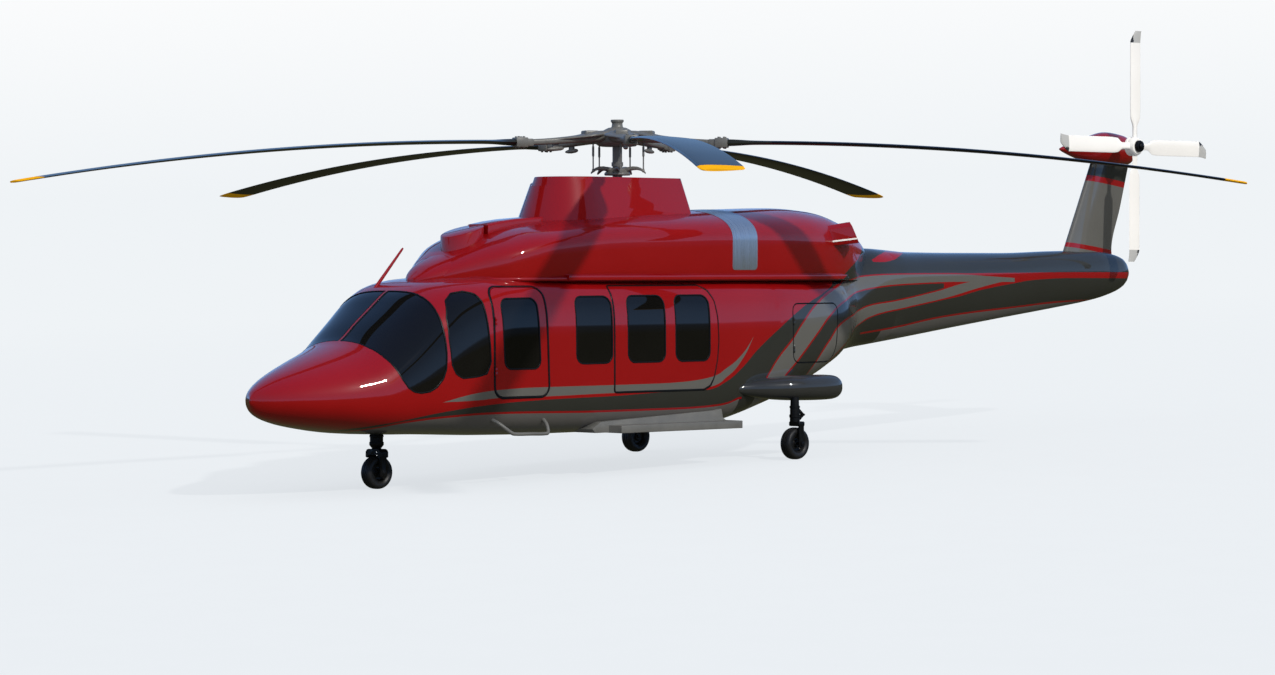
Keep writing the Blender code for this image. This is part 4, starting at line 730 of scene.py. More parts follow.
def tube(name, route, radius, sides=16, smooth_steps=6):
    """A round bar bent smoothly through a route, closed at both ends."""
    route = [Vector(p) for p in route]
    line = []
    for k in range(len(route) - 1):
        before = route[max(k - 1, 0)]
        after = route[min(k + 2, len(route) - 1)]
        a, b = route[k], route[k + 1]
        for s in range(smooth_steps):
            t = s / smooth_steps
            line.append(0.5 * (2 * a + (b - before) * t + (2 * before - 5 * a + 4 * b - after) * t**2
                               + (3 * a - before - 3 * b + after) * t**3))
    line.append(route[-1])
    rings = []
    side = None
    for k, spot in enumerate(line):
        run = (line[min(k + 1, len(line) - 1)] - line[max(k - 1, 0)]).normalized()
        side = run.orthogonal().normalized() if side is None else (side - run * side.dot(run)).normalized()
        other = run.cross(side)
        rings.append([spot + side * (radius * a) + other * (radius * b) for a, b in circle(sides)])
    return wrapped(name, rings)


def carve(obj, guide, operation="DIFFERENCE", keep=False):
    """Cut, join or bound a piece with a guide, at once."""
    pick(obj)
    step = obj.modifiers.new(operation.lower(), "BOOLEAN")
    step.operation = operation
    step.object = guide
    step.solver = "MANIFOLD"
    bpy.ops.object.modifier_apply(modifier=step.name)
    if not keep:
        discard(guide)
    if not obj.data.polygons:
        raise RuntimeError(f"nothing is left of {obj.name}")
    return obj


def weld(obj, guide, keep=False):
    """Join a guide onto a piece."""
    return carve(obj, guide, "UNION", keep)


def discard(*guides):
    """Remove guides that have done their work."""
    for guide in guides:
        bpy.data.objects.remove(guide)


def copy_of(obj, name):
    """A second piece of the same shape, with its own mesh."""
    twin = obj.copy()
    twin.data = obj.data.copy()
    twin.name = name
    twin.data.name = name
    bpy.context.scene.collection.objects.link(twin)
    return twin


def soften(obj, angle=30.0):
    """Smooth shading, with edges sharper than an angle kept."""
    pick(obj)
    bpy.ops.object.shade_smooth_by_angle(angle=math.radians(angle))
    return obj


def all_smooth(obj):
    """Smooth shading throughout."""
    for face in obj.data.polygons:
        face.use_smooth = True
    return obj


def chamfer(obj, width):
    """Round the sharp edges of a piece with a bevel that is applied."""
    pick(obj)
    step = obj.modifiers.new("chamfer", "BEVEL")
    step.width = width
    step.segments = 2
    step.limit_method = "ANGLE"
    step.angle_limit = math.radians(40)
    step.use_clamp_overlap = True
    bpy.ops.object.modifier_apply(modifier=step.name)
    return obj


def lend_normals(obj, *sources):
    """Give the outer faces of a cut piece the shading of the whole forms that it was cut from."""
    soften(obj)
    lenders = []
    for source in sources:
        mesh = source.data
        lenders.append((BVHTree.FromPolygons([v.co for v in mesh.vertices],
                                             [tuple(p.vertices) for p in mesh.polygons]), mesh))
    mesh = obj.data
    found = [None] * len(mesh.vertices)
    for vertex in mesh.vertices:
        for tree, lender in lenders:
            spot, _, number, _ = tree.find_nearest(vertex.co, LEND_REACH)
            if number is None:
                continue
            corners = lender.polygons[number].vertices
            shares = poly_3d_calc([lender.vertices[c].co for c in corners], spot)
            blend = Vector()
            for corner, share in zip(corners, shares):
                blend += lender.vertices[corner].normal * share
            found[vertex.index] = (found[vertex.index] or []) + [blend.normalized()]
    normals = [(0.0, 0.0, 0.0)] * len(mesh.loops)
    for face in mesh.polygons:
        for loop in face.loop_indices:
            choices = found[mesh.loops[loop].vertex_index]
            if choices:
                best = max(choices, key=face.normal.dot)
                if best.dot(face.normal) > LEND_AGREEMENT:
                    normals[loop] = tuple(best)
    mesh.normals_split_custom_set(normals)
    return obj


def settle(obj, material, body, slot, *nodes):
    """Put a finished piece in the shared frame, on its body and in place of its plain solids."""
    obj.data.materials.clear()
    obj.data.materials.append(material)
    for face in obj.data.polygons:
        face.material_index = 0
    obj.data.transform(LEVEL)
    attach(obj, body)
    if nodes:
        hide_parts(*nodes)
    return obj


# ---------------------------------------------------------------- materials

def put(tree, kind, settings=None, **inputs):
    """Add a shader node; an input given as a socket is linked, and any other value is set."""
    new = tree.nodes.new("ShaderNode" + kind)
    for key, value in (settings or {}).items():
        setattr(new, key, value)
    for key, value in inputs.items():
        fill(tree, new.inputs[key.replace("_", " ")], value)
    return new


def fill(tree, socket, value):
    """Link a socket to another, or set it."""
    if isinstance(value, bpy.types.NodeSocket):
        tree.links.new(value, socket)
    elif socket.type == "RGBA" and len(value) == 3:
        socket.default_value = (*value, 1.0)
    else:
        socket.default_value = value


def reckon(tree, operation, a, b=0.0, clamp=False):
    """One sum on values."""
    new = tree.nodes.new("ShaderNodeMath")
    new.operation = operation
    new.use_clamp = clamp
    fill(tree, new.inputs[0], a)
    if operation not in ("ABSOLUTE", "SQRT", "SINE"):
        fill(tree, new.inputs[1], b)
    return new.outputs[0]


def blended(tree, share, first, second, blend="MIX"):
    """First colour where share is 0 and second where it is 1."""
    new = tree.nodes.new("ShaderNodeMix")
    new.data_type = "RGBA"
    new.blend_type = blend
    fill(tree, new.inputs[0], share)
    fill(tree, new.inputs[6], first)
    fill(tree, new.inputs[7], second)
    return new.outputs[2]


def spread(tree, value, from_low, from_high, to_low=0.0, to_high=1.0):
    """Move a value from one range to another, kept inside it."""
    new = put(tree, "MapRange", {"clamp": True}, Value=value, From_Min=from_low, From_Max=from_high,
              To_Min=to_low, To_Max=to_high)
    return new.outputs[0]


def past(tree, value, soft=0.0012):
    """1 where a distance is above zero, 0 below, with a hair of softness."""
    return spread(tree, value, -soft, soft)


def height_line(tree, y, points):
    """Height of a drawn edge at y."""
    ys = [p[0] for p in points]
    zs = [p[1] for p in points]
    low, high = min(zs), max(zs)
    share = spread(tree, y, ys[0], ys[-1])
    curve = tree.nodes.new("ShaderNodeFloatCurve")
    line = curve.mapping.curves[0]
    spots = [((a - ys[0]) / (ys[-1] - ys[0]), (b - low) / (high - low)) for a, b in points]
    line.points[0].location = spots[0]
    line.points[1].location = spots[-1]
    for spot in spots[1:-1]:
        line.points.new(*spot)
    for point in line.points:
        point.handle_type = "AUTO_CLAMPED"
    curve.mapping.update()
    tree.links.new(share, curve.inputs["Value"])
    return reckon(tree, "ADD", reckon(tree, "MULTIPLY", curve.outputs[0], high - low), low)


def mixed(tree, share, first, second):
    """First shader where share is 0 and second where it is 1."""
    mix = put(tree, "MixShader")
    fill(tree, mix.inputs[0], share)
    tree.links.new(first.outputs[0], mix.inputs[1])
    tree.links.new(second.outputs[0], mix.inputs[2])
    return mix


def effect(name, inputs, outputs):
    """An empty node group with named inputs and outputs."""
    group = bpy.data.node_groups.new(name, "ShaderNodeTree")
    for label, kind, value in inputs:
        socket = group.interface.new_socket(name=label, in_out="INPUT", socket_type="NodeSocket" + kind)
        if kind == "Color":
            socket.default_value = (*value, 1.0)
        elif kind != "Vector":
            socket.default_value = value
    for label, kind in outputs:
        group.interface.new_socket(name=label, in_out="OUTPUT", socket_type="NodeSocket" + kind)
    start = group.nodes.new("NodeGroupInput")
    end = group.nodes.new("NodeGroupOutput")
    return group, start, end


def level_place():
    """Group: a point of the machine turned back into its level frame."""
    name = "level place"
    if name in bpy.data.node_groups:
        return bpy.data.node_groups[name]
    group, start, end = effect(name, (("Vector", "Vector", None),),
                               (("X", "Float"), ("Y", "Float"), ("Z", "Float")))
    turn = put(group, "Mapping", {"vector_type": "POINT"}, Vector=start.outputs["Vector"],
               Location=(0.0, 0.0, PAD_BOTTOM), Rotation=(-ATTITUDE, 0.0, 0.0))
    parts = put(group, "SeparateXYZ", None, Vector=turn.outputs[0])
    for axis in "XYZ":
        group.links.new(parts.outputs[axis], end.inputs[axis])
    return group


NOISE_RANGE = (0.3, 0.7)


def surface_life():
    """Group: uneven tone, uneven gloss and a fine grain, for any finish."""
    name = "surface life"
    if name in bpy.data.node_groups:
        return bpy.data.node_groups[name]
    group, start, end = effect(
        name, (("Vector", "Vector", None), ("Patch Scale", "Float", 1.5), ("Grain Scale", "Float", 60.0),
               ("Tone Low", "Float", 0.94), ("Tone High", "Float", 1.04)),
        (("Tone", "Float"), ("Patches", "Float"), ("Grain", "Float")))
    patches = put(group, "TexNoise", None, Vector=start.outputs["Vector"], Scale=start.outputs["Patch Scale"],
                  Detail=4.0, Roughness=0.6)
    grain = put(group, "TexNoise", None, Vector=start.outputs["Vector"], Scale=start.outputs["Grain Scale"],
                Detail=3.0, Roughness=0.55)
    tone = spread(group, patches.outputs[0], *NOISE_RANGE, start.outputs["Tone Low"], start.outputs["Tone High"])
    group.links.new(tone, end.inputs["Tone"])
    group.links.new(patches.outputs[0], end.inputs["Patches"])
    group.links.new(grain.outputs[0], end.inputs["Grain"])
    return group


def paint_scheme():
    """Group: the colours of the body, drawn by height and length like masked spray paint."""
    name = "paint scheme"
    if name in bpy.data.node_groups:
        return bpy.data.node_groups[name]
    tree, start, end = effect(
        name, (("Y", "Float", 0.0), ("Z", "Float", 0.0), ("Red", "Color", (0.5, 0.0, 0.0)),
               ("Charcoal", "Color", (0.05, 0.05, 0.05)), ("Belly Grey", "Color", (0.15, 0.15, 0.15)),
               ("Stripe Grey", "Color", (0.3, 0.3, 0.3))),
        (("Color", "Color"),))
    y = start.outputs["Y"]
    z = start.outputs["Z"]
    red = start.outputs["Red"]
    belly_grey = start.outputs["Belly Grey"]
    stripe_grey = start.outputs["Stripe Grey"]

    def less(a, b):
        return reckon(tree, "SUBTRACT", a, b)

    def both(a, b):
        return reckon(tree, "MULTIPLY", a, b)

    def above(points, lift=0.0):
        return past(tree, less(less(z, height_line(tree, y, points)), lift))

    def below(points, lift=0.0):
        return less(1.0, above(points, lift))

    def within(low, high):
        return both(past(tree, less(y, low)), past(tree, less(high, y)))

    def margin(low, high):
        """Between two edges, and a little past both."""
        over = reckon(tree, "ADD", less(z, height_line(tree, y, low)), steep)
        under = reckon(tree, "ADD", less(height_line(tree, y, high), z), steep)
        return both(past(tree, over), past(tree, under))

    steep = spread(tree, y, 3.2, 3.9, 0.034, 0.019)
    stripes = ((UPPER_STRIPE_BOTTOM, UPPER_STRIPE_TOP, 1.45), (LOWER_STRIPE_BOTTOM, LOWER_STRIPE_TOP, 2.40))
    areas = [
        (above(RED_EDGE), red),
        (both(below(BELLY_EDGE), within(-5.3, 1.114)), belly_grey),
        (both(both(above(BELLY_EDGE, -0.014), below(BELLY_EDGE, 0.012)), within(-5.3, 1.16)), red),
        (both(both(above(SWOOSH_BOTTOM), below(SWOOSH_TOP)), within(-4.087, 1.364)), stripe_grey),
        (both(below(BOOM_LOW_LINE), within(4.8, 10.2)), belly_grey),
        (both(both(above(BOOM_LOW_LINE, -0.026), below(BOOM_LOW_LINE)), within(4.3, 10.0)), red),
        (both(both(above(BOOM_BAND_BOTTOM), below(BOOM_BAND_TOP)), within(6.1, 10.9)), red),
    ]
    areas += [(both(margin(low, high), within(first, 7.80)), red) for low, high, first in stripes]
    areas += [(both(both(above(low), below(high)), within(first, 7.78)), stripe_grey) for low, high, first in stripes]
    areas.append((both(both(above(CRESCENT_LOW), below(CRESCENT_TOP)), within(4.6, 5.7)), red))
    paint = start.outputs["Charcoal"]
    for mask, tint in areas:
        paint = blended(tree, mask, paint, tint)
    tree.links.new(paint, end.inputs["Color"])
    return tree


def finish_of(name):
    """A new material with its Principled shader, its object coordinates and its tree."""
    material = bpy.data.materials.new(name)
    material.use_nodes = True
    tree = material.node_tree
    shader = tree.nodes["Principled BSDF"]
    spot = tree.nodes.new("ShaderNodeTexCoord").outputs["Object"]
    return material, tree, shader, spot


def grained(tree, shader, spot, base, rough, patch=1.5, grain=60.0, tones=(0.94, 1.04), bump=0.0005,
            strength=0.3, rough_swing=0.05):
    """Wire a base colour, its uneven gloss and its grain into a shader."""
    life = put(tree, "Group", {"node_tree": surface_life()}, Vector=spot, Patch_Scale=patch, Grain_Scale=grain,
               Tone_Low=tones[0], Tone_High=tones[1])
    tinted = put(tree, "VectorMath", {"operation": "SCALE"}, Vector=base, Scale=life.outputs["Tone"])
    tree.links.new(tinted.outputs[0], shader.inputs["Base Color"])
    tree.links.new(spread(tree, life.outputs["Patches"], *NOISE_RANGE, rough - rough_swing, rough + rough_swing),
                   shader.inputs["Roughness"])
    relief = put(tree, "Bump", None, Height=life.outputs["Grain"], Strength=strength, Distance=bump)
    tree.links.new(relief.outputs[0], shader.inputs["Normal"])


def lacquered(tree, shader, spot, base, rough, patch, grain, tones, coat, coat_rough=0.03):
    """Paint with a faint grain below a clear coat."""
    grained(tree, shader, spot, base, rough, patch, grain, tones, 0.0004, 0.10)
    shader.inputs["Specular IOR Level"].default_value = 0.08
    shader.inputs["Coat Weight"].default_value = coat
    shader.inputs["Coat Roughness"].default_value = coat_rough


def made_once(build):
    """Keep a material after its first making, under its function's name or the name it is given."""
    def material(*settings):
        return bpy.data.materials.get(settings[0] if settings else build.__name__) or build(*settings)
    return material


@made_once
def body_paint():
    """Lacquered red over charcoal and grey, with the swoosh and the stripes of the sides."""
    look = bpy.context.scene.helicopter_paint
    material, tree, shader, spot = finish_of("body_paint")
    level = put(tree, "Group", {"node_tree": level_place()}, Vector=spot).outputs
    scheme = put(tree, "Group", {"node_tree": paint_scheme()}, Y=level["Y"], Z=level["Z"], Red=look.red,
                 Charcoal=look.charcoal, Belly_Grey=look.belly_grey, Stripe_Grey=look.stripe_grey)
    lacquered(tree, shader, spot, scheme.outputs["Color"], 0.38, 0.9, 14.0, (0.95, 1.03), look.clear_coat, 0.025)
    return material


@made_once
def plain_paint(name, base, rough=0.38, coat=1.0, tones=(0.95, 1.03)):
    """One lacquered colour."""
    material, tree, shader, spot = finish_of(name)
    lacquered(tree, shader, spot, tuple(base), rough, 1.1, 16.0, tones, coat)
    return material


@made_once
def fin_paint():
    """Grey fin with a slate top between two red bands."""
    look = bpy.context.scene.helicopter_paint
    material, tree, shader, spot = finish_of("fin_paint")
    level = put(tree, "Group", {"node_tree": level_place()}, Vector=spot).outputs
    slope = reckon(tree, "MULTIPLY", reckon(tree, "SUBTRACT", level["Y"], 10.2), 0.11)
    rise = reckon(tree, "ADD", level["Z"], slope)
    paint = blended(tree, past(tree, reckon(tree, "SUBTRACT", rise, 3.93)), look.fin_grey, look.charcoal)
    for middle, half in ((3.90, 0.045), (4.32, 0.09), (2.83, 0.035)):
        off = reckon(tree, "ABSOLUTE", reckon(tree, "SUBTRACT", rise, middle))
        paint = blended(tree, past(tree, reckon(tree, "SUBTRACT", half, off)), paint, look.red)
    lacquered(tree, shader, spot, paint, 0.35, 1.2, 16.0, (0.94, 1.04), look.clear_coat)
    return material


@made_once
def blade_paint():
    """Dark blade with a yellow band at its end."""
    look = bpy.context.scene.helicopter_paint
    material, tree, shader, spot = finish_of("blade_paint")
    level = put(tree, "Group", {"node_tree": level_place()}, Vector=spot).outputs
    flat = put(tree, "CombineXYZ", None, X=level["X"], Y=level["Y"])
    out = put(tree, "VectorMath", {"operation": "LENGTH"}, Vector=flat.outputs[0])
    band = past(tree, reckon(tree, "SUBTRACT", out.outputs["Value"], ROTOR_RADIUS - 0.29))
    paint = blended(tree, band, look.blade_dark, look.tip_yellow)
    grained(tree, shader, spot, paint, 0.30, 2.0, 40.0, (0.85, 1.1), 0.0004, 0.15)
    matt = reckon(tree, "SUBTRACT", 1.0, band)
    tree.links.new(reckon(tree, "MULTIPLY", matt, 0.5), shader.inputs["Coat Weight"])
    shader.inputs["Coat Roughness"].default_value = 0.10
    shader.inputs["Specular IOR Level"].default_value = 0.0
    return material


@made_once
def tinted_glass_dark():
    """Dark window glass that mirrors the studio."""
    material, tree, shader, spot = finish_of("tinted_glass_dark")
    grained(tree, shader, spot, tuple(bpy.context.scene.helicopter_paint.glass_tint), 0.025, 0.8, 2.0, (0.8, 1.2),
            0.0004, 0.05, 0.01)
    shader.inputs["IOR"].default_value = 1.45
    return material


# Plain finishes: colour or a share of the hub's grey, roughness, metallic, scale of patches and of grain,
# tones, strength of the grain, specular level
WORN = (0.85, 1.1)
FINISHES = {
    "seal_rubber": ((0.005, 0.005, 0.005), 0.42, 0.0, 4.0, 90.0, WORN, 0.2, 0.2),
    "tyre_rubber": ((0.010, 0.010, 0.010), 0.50, 0.0, 9.0, 220.0, WORN, 0.5, 0.35),
    "gear_black": ((0.005, 0.005, 0.005), 0.42, 0.0, 7.0, 180.0, WORN, 0.35, 0.2),
    "rim_grey": ((0.012, 0.012, 0.012), 0.36, 0.2, 9.0, 200.0, WORN, 0.35, 0.3),
    "hub_metal": (1.0, 0.42, 0.15, 5.0, 150.0, (0.82, 1.08), 0.35, 0.5),
    "step_grey": (0.92, 0.45, 0.0, 3.0, 160.0, WORN, 0.35, 0.5),
    # painted highlight: a pale strip that stands in for the sun's glint on the lower fold of the exhaust ducts
    "polished_lip": ((0.86, 0.84, 0.83), 0.30, 0.0, 4.0, 120.0, (0.94, 1.04), 0.35, 0.5),
    "seat_frame": ((0.05, 0.052, 0.055), 0.45, 0.3, 4.0, 120.0, WORN, 0.35, 0.5),
    "cabin_lining": ((0.10, 0.10, 0.095), 0.75, 0.0, 4.0, 120.0, WORN, 0.35, 0.5),
    "instrument_black": ((0.012, 0.012, 0.013), 0.55, 0.0, 4.0, 120.0, WORN, 0.35, 0.5),
    "engine_metal": ((0.35, 0.35, 0.34), 0.42, 0.8, 4.0, 120.0, WORN, 0.35, 0.5),
}


@made_once
def plain_finish(name):
    """A finish of the table: rubber, cast metal, moulded plastic or the pale strip of painted highlight on the
    exhausts, with its own grain.
    """
    base, rough, metallic, patch, grain, tones, strength, specular = FINISHES[name]
    if isinstance(base, float):
        base = [tone * base for tone in bpy.context.scene.helicopter_paint.hub_grey]
    material, tree, shader, spot = finish_of(name)
    grained(tree, shader, spot, tuple(base), rough, patch, grain, tones, 0.0006, strength, 0.08)
    shader.inputs["Metallic"].default_value = metallic
    shader.inputs["Specular IOR Level"].default_value = specular
    return material


@made_once
def band_metal():
    """Brushed steel-blue metal of the band round the cowling."""
    material, tree, shader, spot = finish_of("band_metal")
    stretch = put(tree, "Mapping", None, Vector=spot, Scale=(1.0, 60.0, 1.0))
    grained(tree, shader, stretch.outputs[0], (0.50, 0.56, 0.62), 0.30, patch=1.0, grain=12.0, tones=(0.9, 1.05),
            bump=0.0003, strength=0.15)
    shader.inputs["Metallic"].default_value = 0.85
    return material


@made_once
def seat_leather_grain():
    """Grained leather with creases."""
    material, tree, shader, spot = finish_of("seat_leather_grain")
    grained(tree, shader, spot, (0.060, 0.052, 0.046), 0.55, patch=5.0, grain=90.0, tones=(0.8, 1.15),
            bump=0.001, strength=0.5)
    cells = put(tree, "TexVoronoi", {"feature": "DISTANCE_TO_EDGE"}, Vector=spot, Scale=180.0)
    relief = put(tree, "Bump", None, Height=spread(tree, cells.outputs["Distance"], 0.0, 0.2), Strength=0.4,
                 Distance=0.0008)
    tree.links.new(relief.outputs[0], shader.inputs["Normal"])
    return material


# ---------------------------------------------------------------- the body and what fills its openings

def guide(name, build):
    """A form that several pieces are cut from; it is built once and removed at the end."""
    name = "guide " + name
    if name not in bpy.data.objects:
        build(name)
    return bpy.data.objects[name]


def round_off(ring, way):
    """Rings that close the end of a body with a small round instead of a flat."""
    middle = sum(ring, Vector()) / len(ring)
    reach = max((spot - middle).length for spot in ring)
    return [[middle + (spot - middle) * math.cos(a) + Vector((0.0, way * reach * 0.16 * math.sin(a), 0.0))
             for spot in ring] for a in (0.5, 0.95, 1.3, 1.5)]


def whole_body():
    """The outer form of body and boom."""
    def build(name):
        steps = bpy.context.scene.helicopter_detail.ring_steps
        rings = [section(BODY, y, steps) for y in BODY_STATIONS]
        return wrapped(name, round_off(rings[0], -1)[::-1] + rings + round_off(rings[-1], 1))
    return guide("whole body", build)


def whole_skin():
    """The body hollowed out to its wall."""
    def build(name):
        skin = copy_of(whole_body(), name)
        carve(skin, form("cabin hollow", BODY, CABIN_HOLLOW, 12, by_wall=True))
        carve(skin, form("rear hollow", BODY, REAR_HOLLOW, 12, by_wall=True))
        carve(skin, form("boom hollow", BODY, (5.00, 5.63, 6.2, 7.0, 7.84, 9.60), 10, by_wall=True))
        return skin
    return guide("whole skin", build)


def windscreen_prism(name, sign, grow=0.0):
    """A prism across one half of the windscreen."""
    low, high = sorted((sign * (POST - grow), sign * 2.0))
    return side_prism(name, WINDSCREEN, grow, low, high, 6)


PANELS = (
    ("nose_skin", "nose_cap", "red_paint", (-2, -6.4, 0.2), (2, NOSE_END, 3.0)),
    ("cockpit_skin", "cockpit_frame", "red_paint", (-2, NOSE_END, SILL), (2, COCKPIT_END, 3.0)),
    ("belly_skin", "cabin_belly", "grey_paint", (-2, NOSE_END, 0.2), (2, CABIN_END, SILL)),
    ("side_skin_left", "cabin_side_left", "red_paint", (ROOF_SIDE, COCKPIT_END, SILL), (2, CABIN_END, ROOF_EDGE)),
    ("side_skin_right", "cabin_side_right", "red_paint", (-2, COCKPIT_END, SILL), (-ROOF_SIDE, CABIN_END, ROOF_EDGE)),
    ("rear_skin", "rear_fuselage", "charcoal_paint", (-2, CABIN_END, 0.2), (2, BOOM_START, 3.4)),
    ("boom_skin", "tail_boom", "charcoal_paint", (-2, BOOM_START, 0.2), (2, 11.5, 3.4)),
)
ROOF_OUTLINE = ((-2.0, 3.0), (-2.0, ROOF_EDGE), (-ROOF_SIDE, ROOF_EDGE), (-ROOF_SIDE, 1.8),
                (ROOF_SIDE, 1.8), (ROOF_SIDE, ROOF_EDGE), (2.0, ROOF_EDGE), (2.0, 3.0))


class HELICOPTER_OT_body(bpy.types.Operator):
    """Skin panels of nose, cockpit, cabin, rear body and boom, with their openings"""
    bl_idname = "helicopter.body"
    bl_label = "Body"

    def execute(self, context):
        for name, node, slot_name, low, high in PANELS:
            panel = copy_of(whole_skin(), name)
            carve(panel, block("bounds", low, high), "INTERSECT")
            if node == "cockpit_frame":
                for sign in (1, -1):
                    carve(panel, windscreen_prism("opening", sign))
                carve(panel, side_prism("opening", QUARTER_WINDOW))
                self.add_aerial(panel)
            if node.startswith("cabin_side"):
                for shape, grow in ((CREW_DOOR, GAP), (SLIDING_DOOR, HAIR), (CABIN_WINDOW, 0.0)):
                    carve(panel, side_prism("opening", shape, grow))
            if node == "rear_fuselage":
                carve(panel, side_prism("opening", BAGGAGE_DOOR, GAP))
            if node == "cabin_belly":
                weld(panel, block("pad", (-0.12, -0.12, PAD_BOTTOM), (0.12, 0.12, 0.45), 0.004))
            lend_normals(panel, whole_body())
            settle(panel, body_paint(), "airframe", slot_name, node)
        roof = copy_of(whole_skin(), "roof_skin")
        carve(roof, prism("bounds", ROOF_OUTLINE, lambda x, z: (x, COCKPIT_END, z),
                          (0.0, CABIN_END - COCKPIT_END, 0.0)), "INTERSECT")
        lend_normals(roof, whole_body())
        settle(roof, body_paint(), "airframe", "red_paint", "cabin_roof")
        return {"FINISHED"}

    def add_aerial(self, panel):
        """Whip aerial with a round tip and a small foot."""
        foot = Vector((-0.38, -3.915, 2.30))
        run = Vector((-0.38, -3.428, 2.835)) - foot
        line = [(foot + run * t, r) for t, r in ((0.0, 0.020), (0.08, 0.019), (0.5, 0.016), (0.95, 0.012),
                                                 (0.985, 0.010), (0.997, 0.006), (1.0, 0.002))]
        side = Vector((1.0, 0.0, 0.0))
        up = side.cross(run).normalized()
        rings = [[spot + side * (r * a) + up * (r * 1.3 * b) for a, b in circle(20)] for spot, r in line]
        weld(panel, wrapped("aerial", rings))


def knuckle(name, x, y, low, body, paint):
    """Barrel of a door hinge."""
    barrel = rod(name, (x, y, low), (x, y, low + HINGE_LENGTH), HINGE_RADIUS, sides=24, bevel=0.003)
    return settle(soften(barrel), paint, body, "red_paint")


class HELICOPTER_OT_doors(bpy.types.Operator):
    """Crew doors, sliding doors and baggage doors, with their hinges"""
    bl_idname = "helicopter.doors"
    bl_label = "Doors"

    def execute(self, context):
        look = context.scene.helicopter_paint
        hinge_red = plain_paint("hinge_red", look.red)
        hinge_dark = plain_paint("hinge_charcoal", look.charcoal)
        for side, sign in SIDES:
            low, high = sorted((sign * 0.6, sign * 2.0))
            for door, shape, gap, windows, body, slot_name in (
                    ("crew_door_", CREW_DOOR, GAP, (CREW_WINDOW,), "crew_door_" + side, "red_paint"),
                    ("sliding_door_", SLIDING_DOOR, HAIR, (DOOR_WINDOW_FRONT, DOOR_WINDOW_REAR), "airframe",
                     "red_paint"),
                    ("baggage_door_", BAGGAGE_DOOR, GAP, (), "baggage_door_" + side, "charcoal_paint")):
                leaf = copy_of(whole_skin(), door + "skin_" + side)
                carve(leaf, side_prism("leaf", shape, -gap, low, high), "INTERSECT")
                for window in windows:
                    carve(leaf, side_prism("opening", window))
                lend_normals(leaf, whole_body())
                settle(leaf, body_paint(), body, slot_name, door + side)
            for door, hinge, heights, paint in (("crew", CREW_HINGE, (1.22, 1.86), hinge_red),
                                                ("baggage", BAGGAGE_HINGE, (1.42, 1.80), hinge_dark)):
                for number, z in enumerate(heights, 1):
                    for part, foot, body in (("fixed", z, "airframe"),
                                             ("swung", z + HINGE_PITCH, f"{door}_door_{side}")):
                        knuckle(f"{door}_hinge_{side}_{number}_{part}", hinge.x * sign, hinge.y, foot, body, paint)
        return {"FINISHED"}


def side_path(shape, grow, sign):
    """A rounded outline laid on the body's side."""
    corners, radius = shape
    flat = [(0.0, p.x, p.y) for p in rounded(grown(corners, grow), max(radius + grow, 0.003), 10)]
    return even_steps([(sign * reach_at(BODY, p.y, p.z), p.y, p.z) for p in even_steps(flat, 0.012)], 0.026)


def windscreen_path(sign):
    """The outline of one half of the windscreen, over the crown and back along the centre post."""
    corners, radius = WINDSCREEN
    flat = even_steps([(0.0, p.x, p.y) for p in rounded(corners, radius, 10)], 0.01)
    start = min(range(len(flat)), key=lambda k: (flat[k] - Vector((0.0, SCREEN_FRONT, 2.69))).length)
    flat = flat[start:] + flat[:start]
    if flat[1].y > SCREEN_FRONT + 0.01:
        flat = [flat[0]] + flat[:0:-1]
    turn = 0.60
    run = [p for p in flat if p.z < crown_at(BODY, p.y, turn) and p.z < 2.28]
    over = np.linspace(POST, turn, 30)[:-1]
    first = [(x, SCREEN_FRONT, crown_at(BODY, SCREEN_FRONT, x)) for x in over]
    side = [(reach_at(BODY, p.y, p.z), p.y, p.z) for p in run]
    last = [(x, SCREEN_BACK, crown_at(BODY, SCREEN_BACK, x)) for x in over[::-1]]
    post = [(POST + 0.006, y, crown_at(BODY, y, POST + 0.006)) for y in np.linspace(-4.04, -4.78, 30)]
    return even_steps([(sign * x, y, z) for x, y, z in first + side + last + post], 0.024)


def seal(name, path, width, height, sink, body, widths=None):
    """A rubber bead along a path on the body."""
    normals = [outward(BODY, spot) for spot in path]
    bead = swept(name, path, 10, normals, width / 2, height, sink, widths)
    return settle(soften(bead, 60), plain_finish("seal_rubber"), body, "rubber")


class HELICOPTER_OT_seals(bpy.types.Operator):
    """Rubber beads round the doors, windows and baggage doors"""
    bl_idname = "helicopter.seals"
    bl_label = "Seals"

    def execute(self, context):
        trim = context.scene.helicopter_trim
        for side, sign in SIDES:
            for name, shape, body in (("quarter_window", QUARTER_WINDOW, "airframe"),
                                      ("crew_window", CREW_WINDOW, "crew_door_" + side),
                                      ("cabin_window", CABIN_WINDOW, "airframe"),
                                      ("door_window_front", DOOR_WINDOW_FRONT, "airframe"),
                                      ("door_window_rear", DOOR_WINDOW_REAR, "airframe")):
                seal(f"{name}_seal_{side}", side_path(shape, 0.0, sign), trim.window_seal, 0.003, 0.012, body)
            seal("windscreen_seal_" + side, windscreen_path(sign), trim.window_seal, 0.003, 0.012, "airframe")
            wide = trim.door_seal
            seal("crew_door_seal_" + side, side_path(CREW_DOOR, GAP + wide / 2, sign), wide, trim.seal_height,
                 0.006, "airframe")
            path = side_path(SLIDING_DOOR, wide / 2 - 0.006, sign)
            widths = [wide / 2 * (0.60 if spot.y > 0.60 else 1.0) for spot in path]
            for _ in range(4):
                widths = [(widths[k - 1] + widths[k] + widths[(k + 1) % len(path)]) / 3 for k in range(len(path))]
            seal("sliding_door_seal_" + side, path, wide, trim.seal_height, 0.006, "airframe", widths)
            wide = trim.hatch_seal
            seal("baggage_door_seal_" + side, side_path(BAGGAGE_DOOR, GAP + wide / 2, sign), wide, 0.002, 0.006,
                 "airframe")
        return {"FINISHED"}


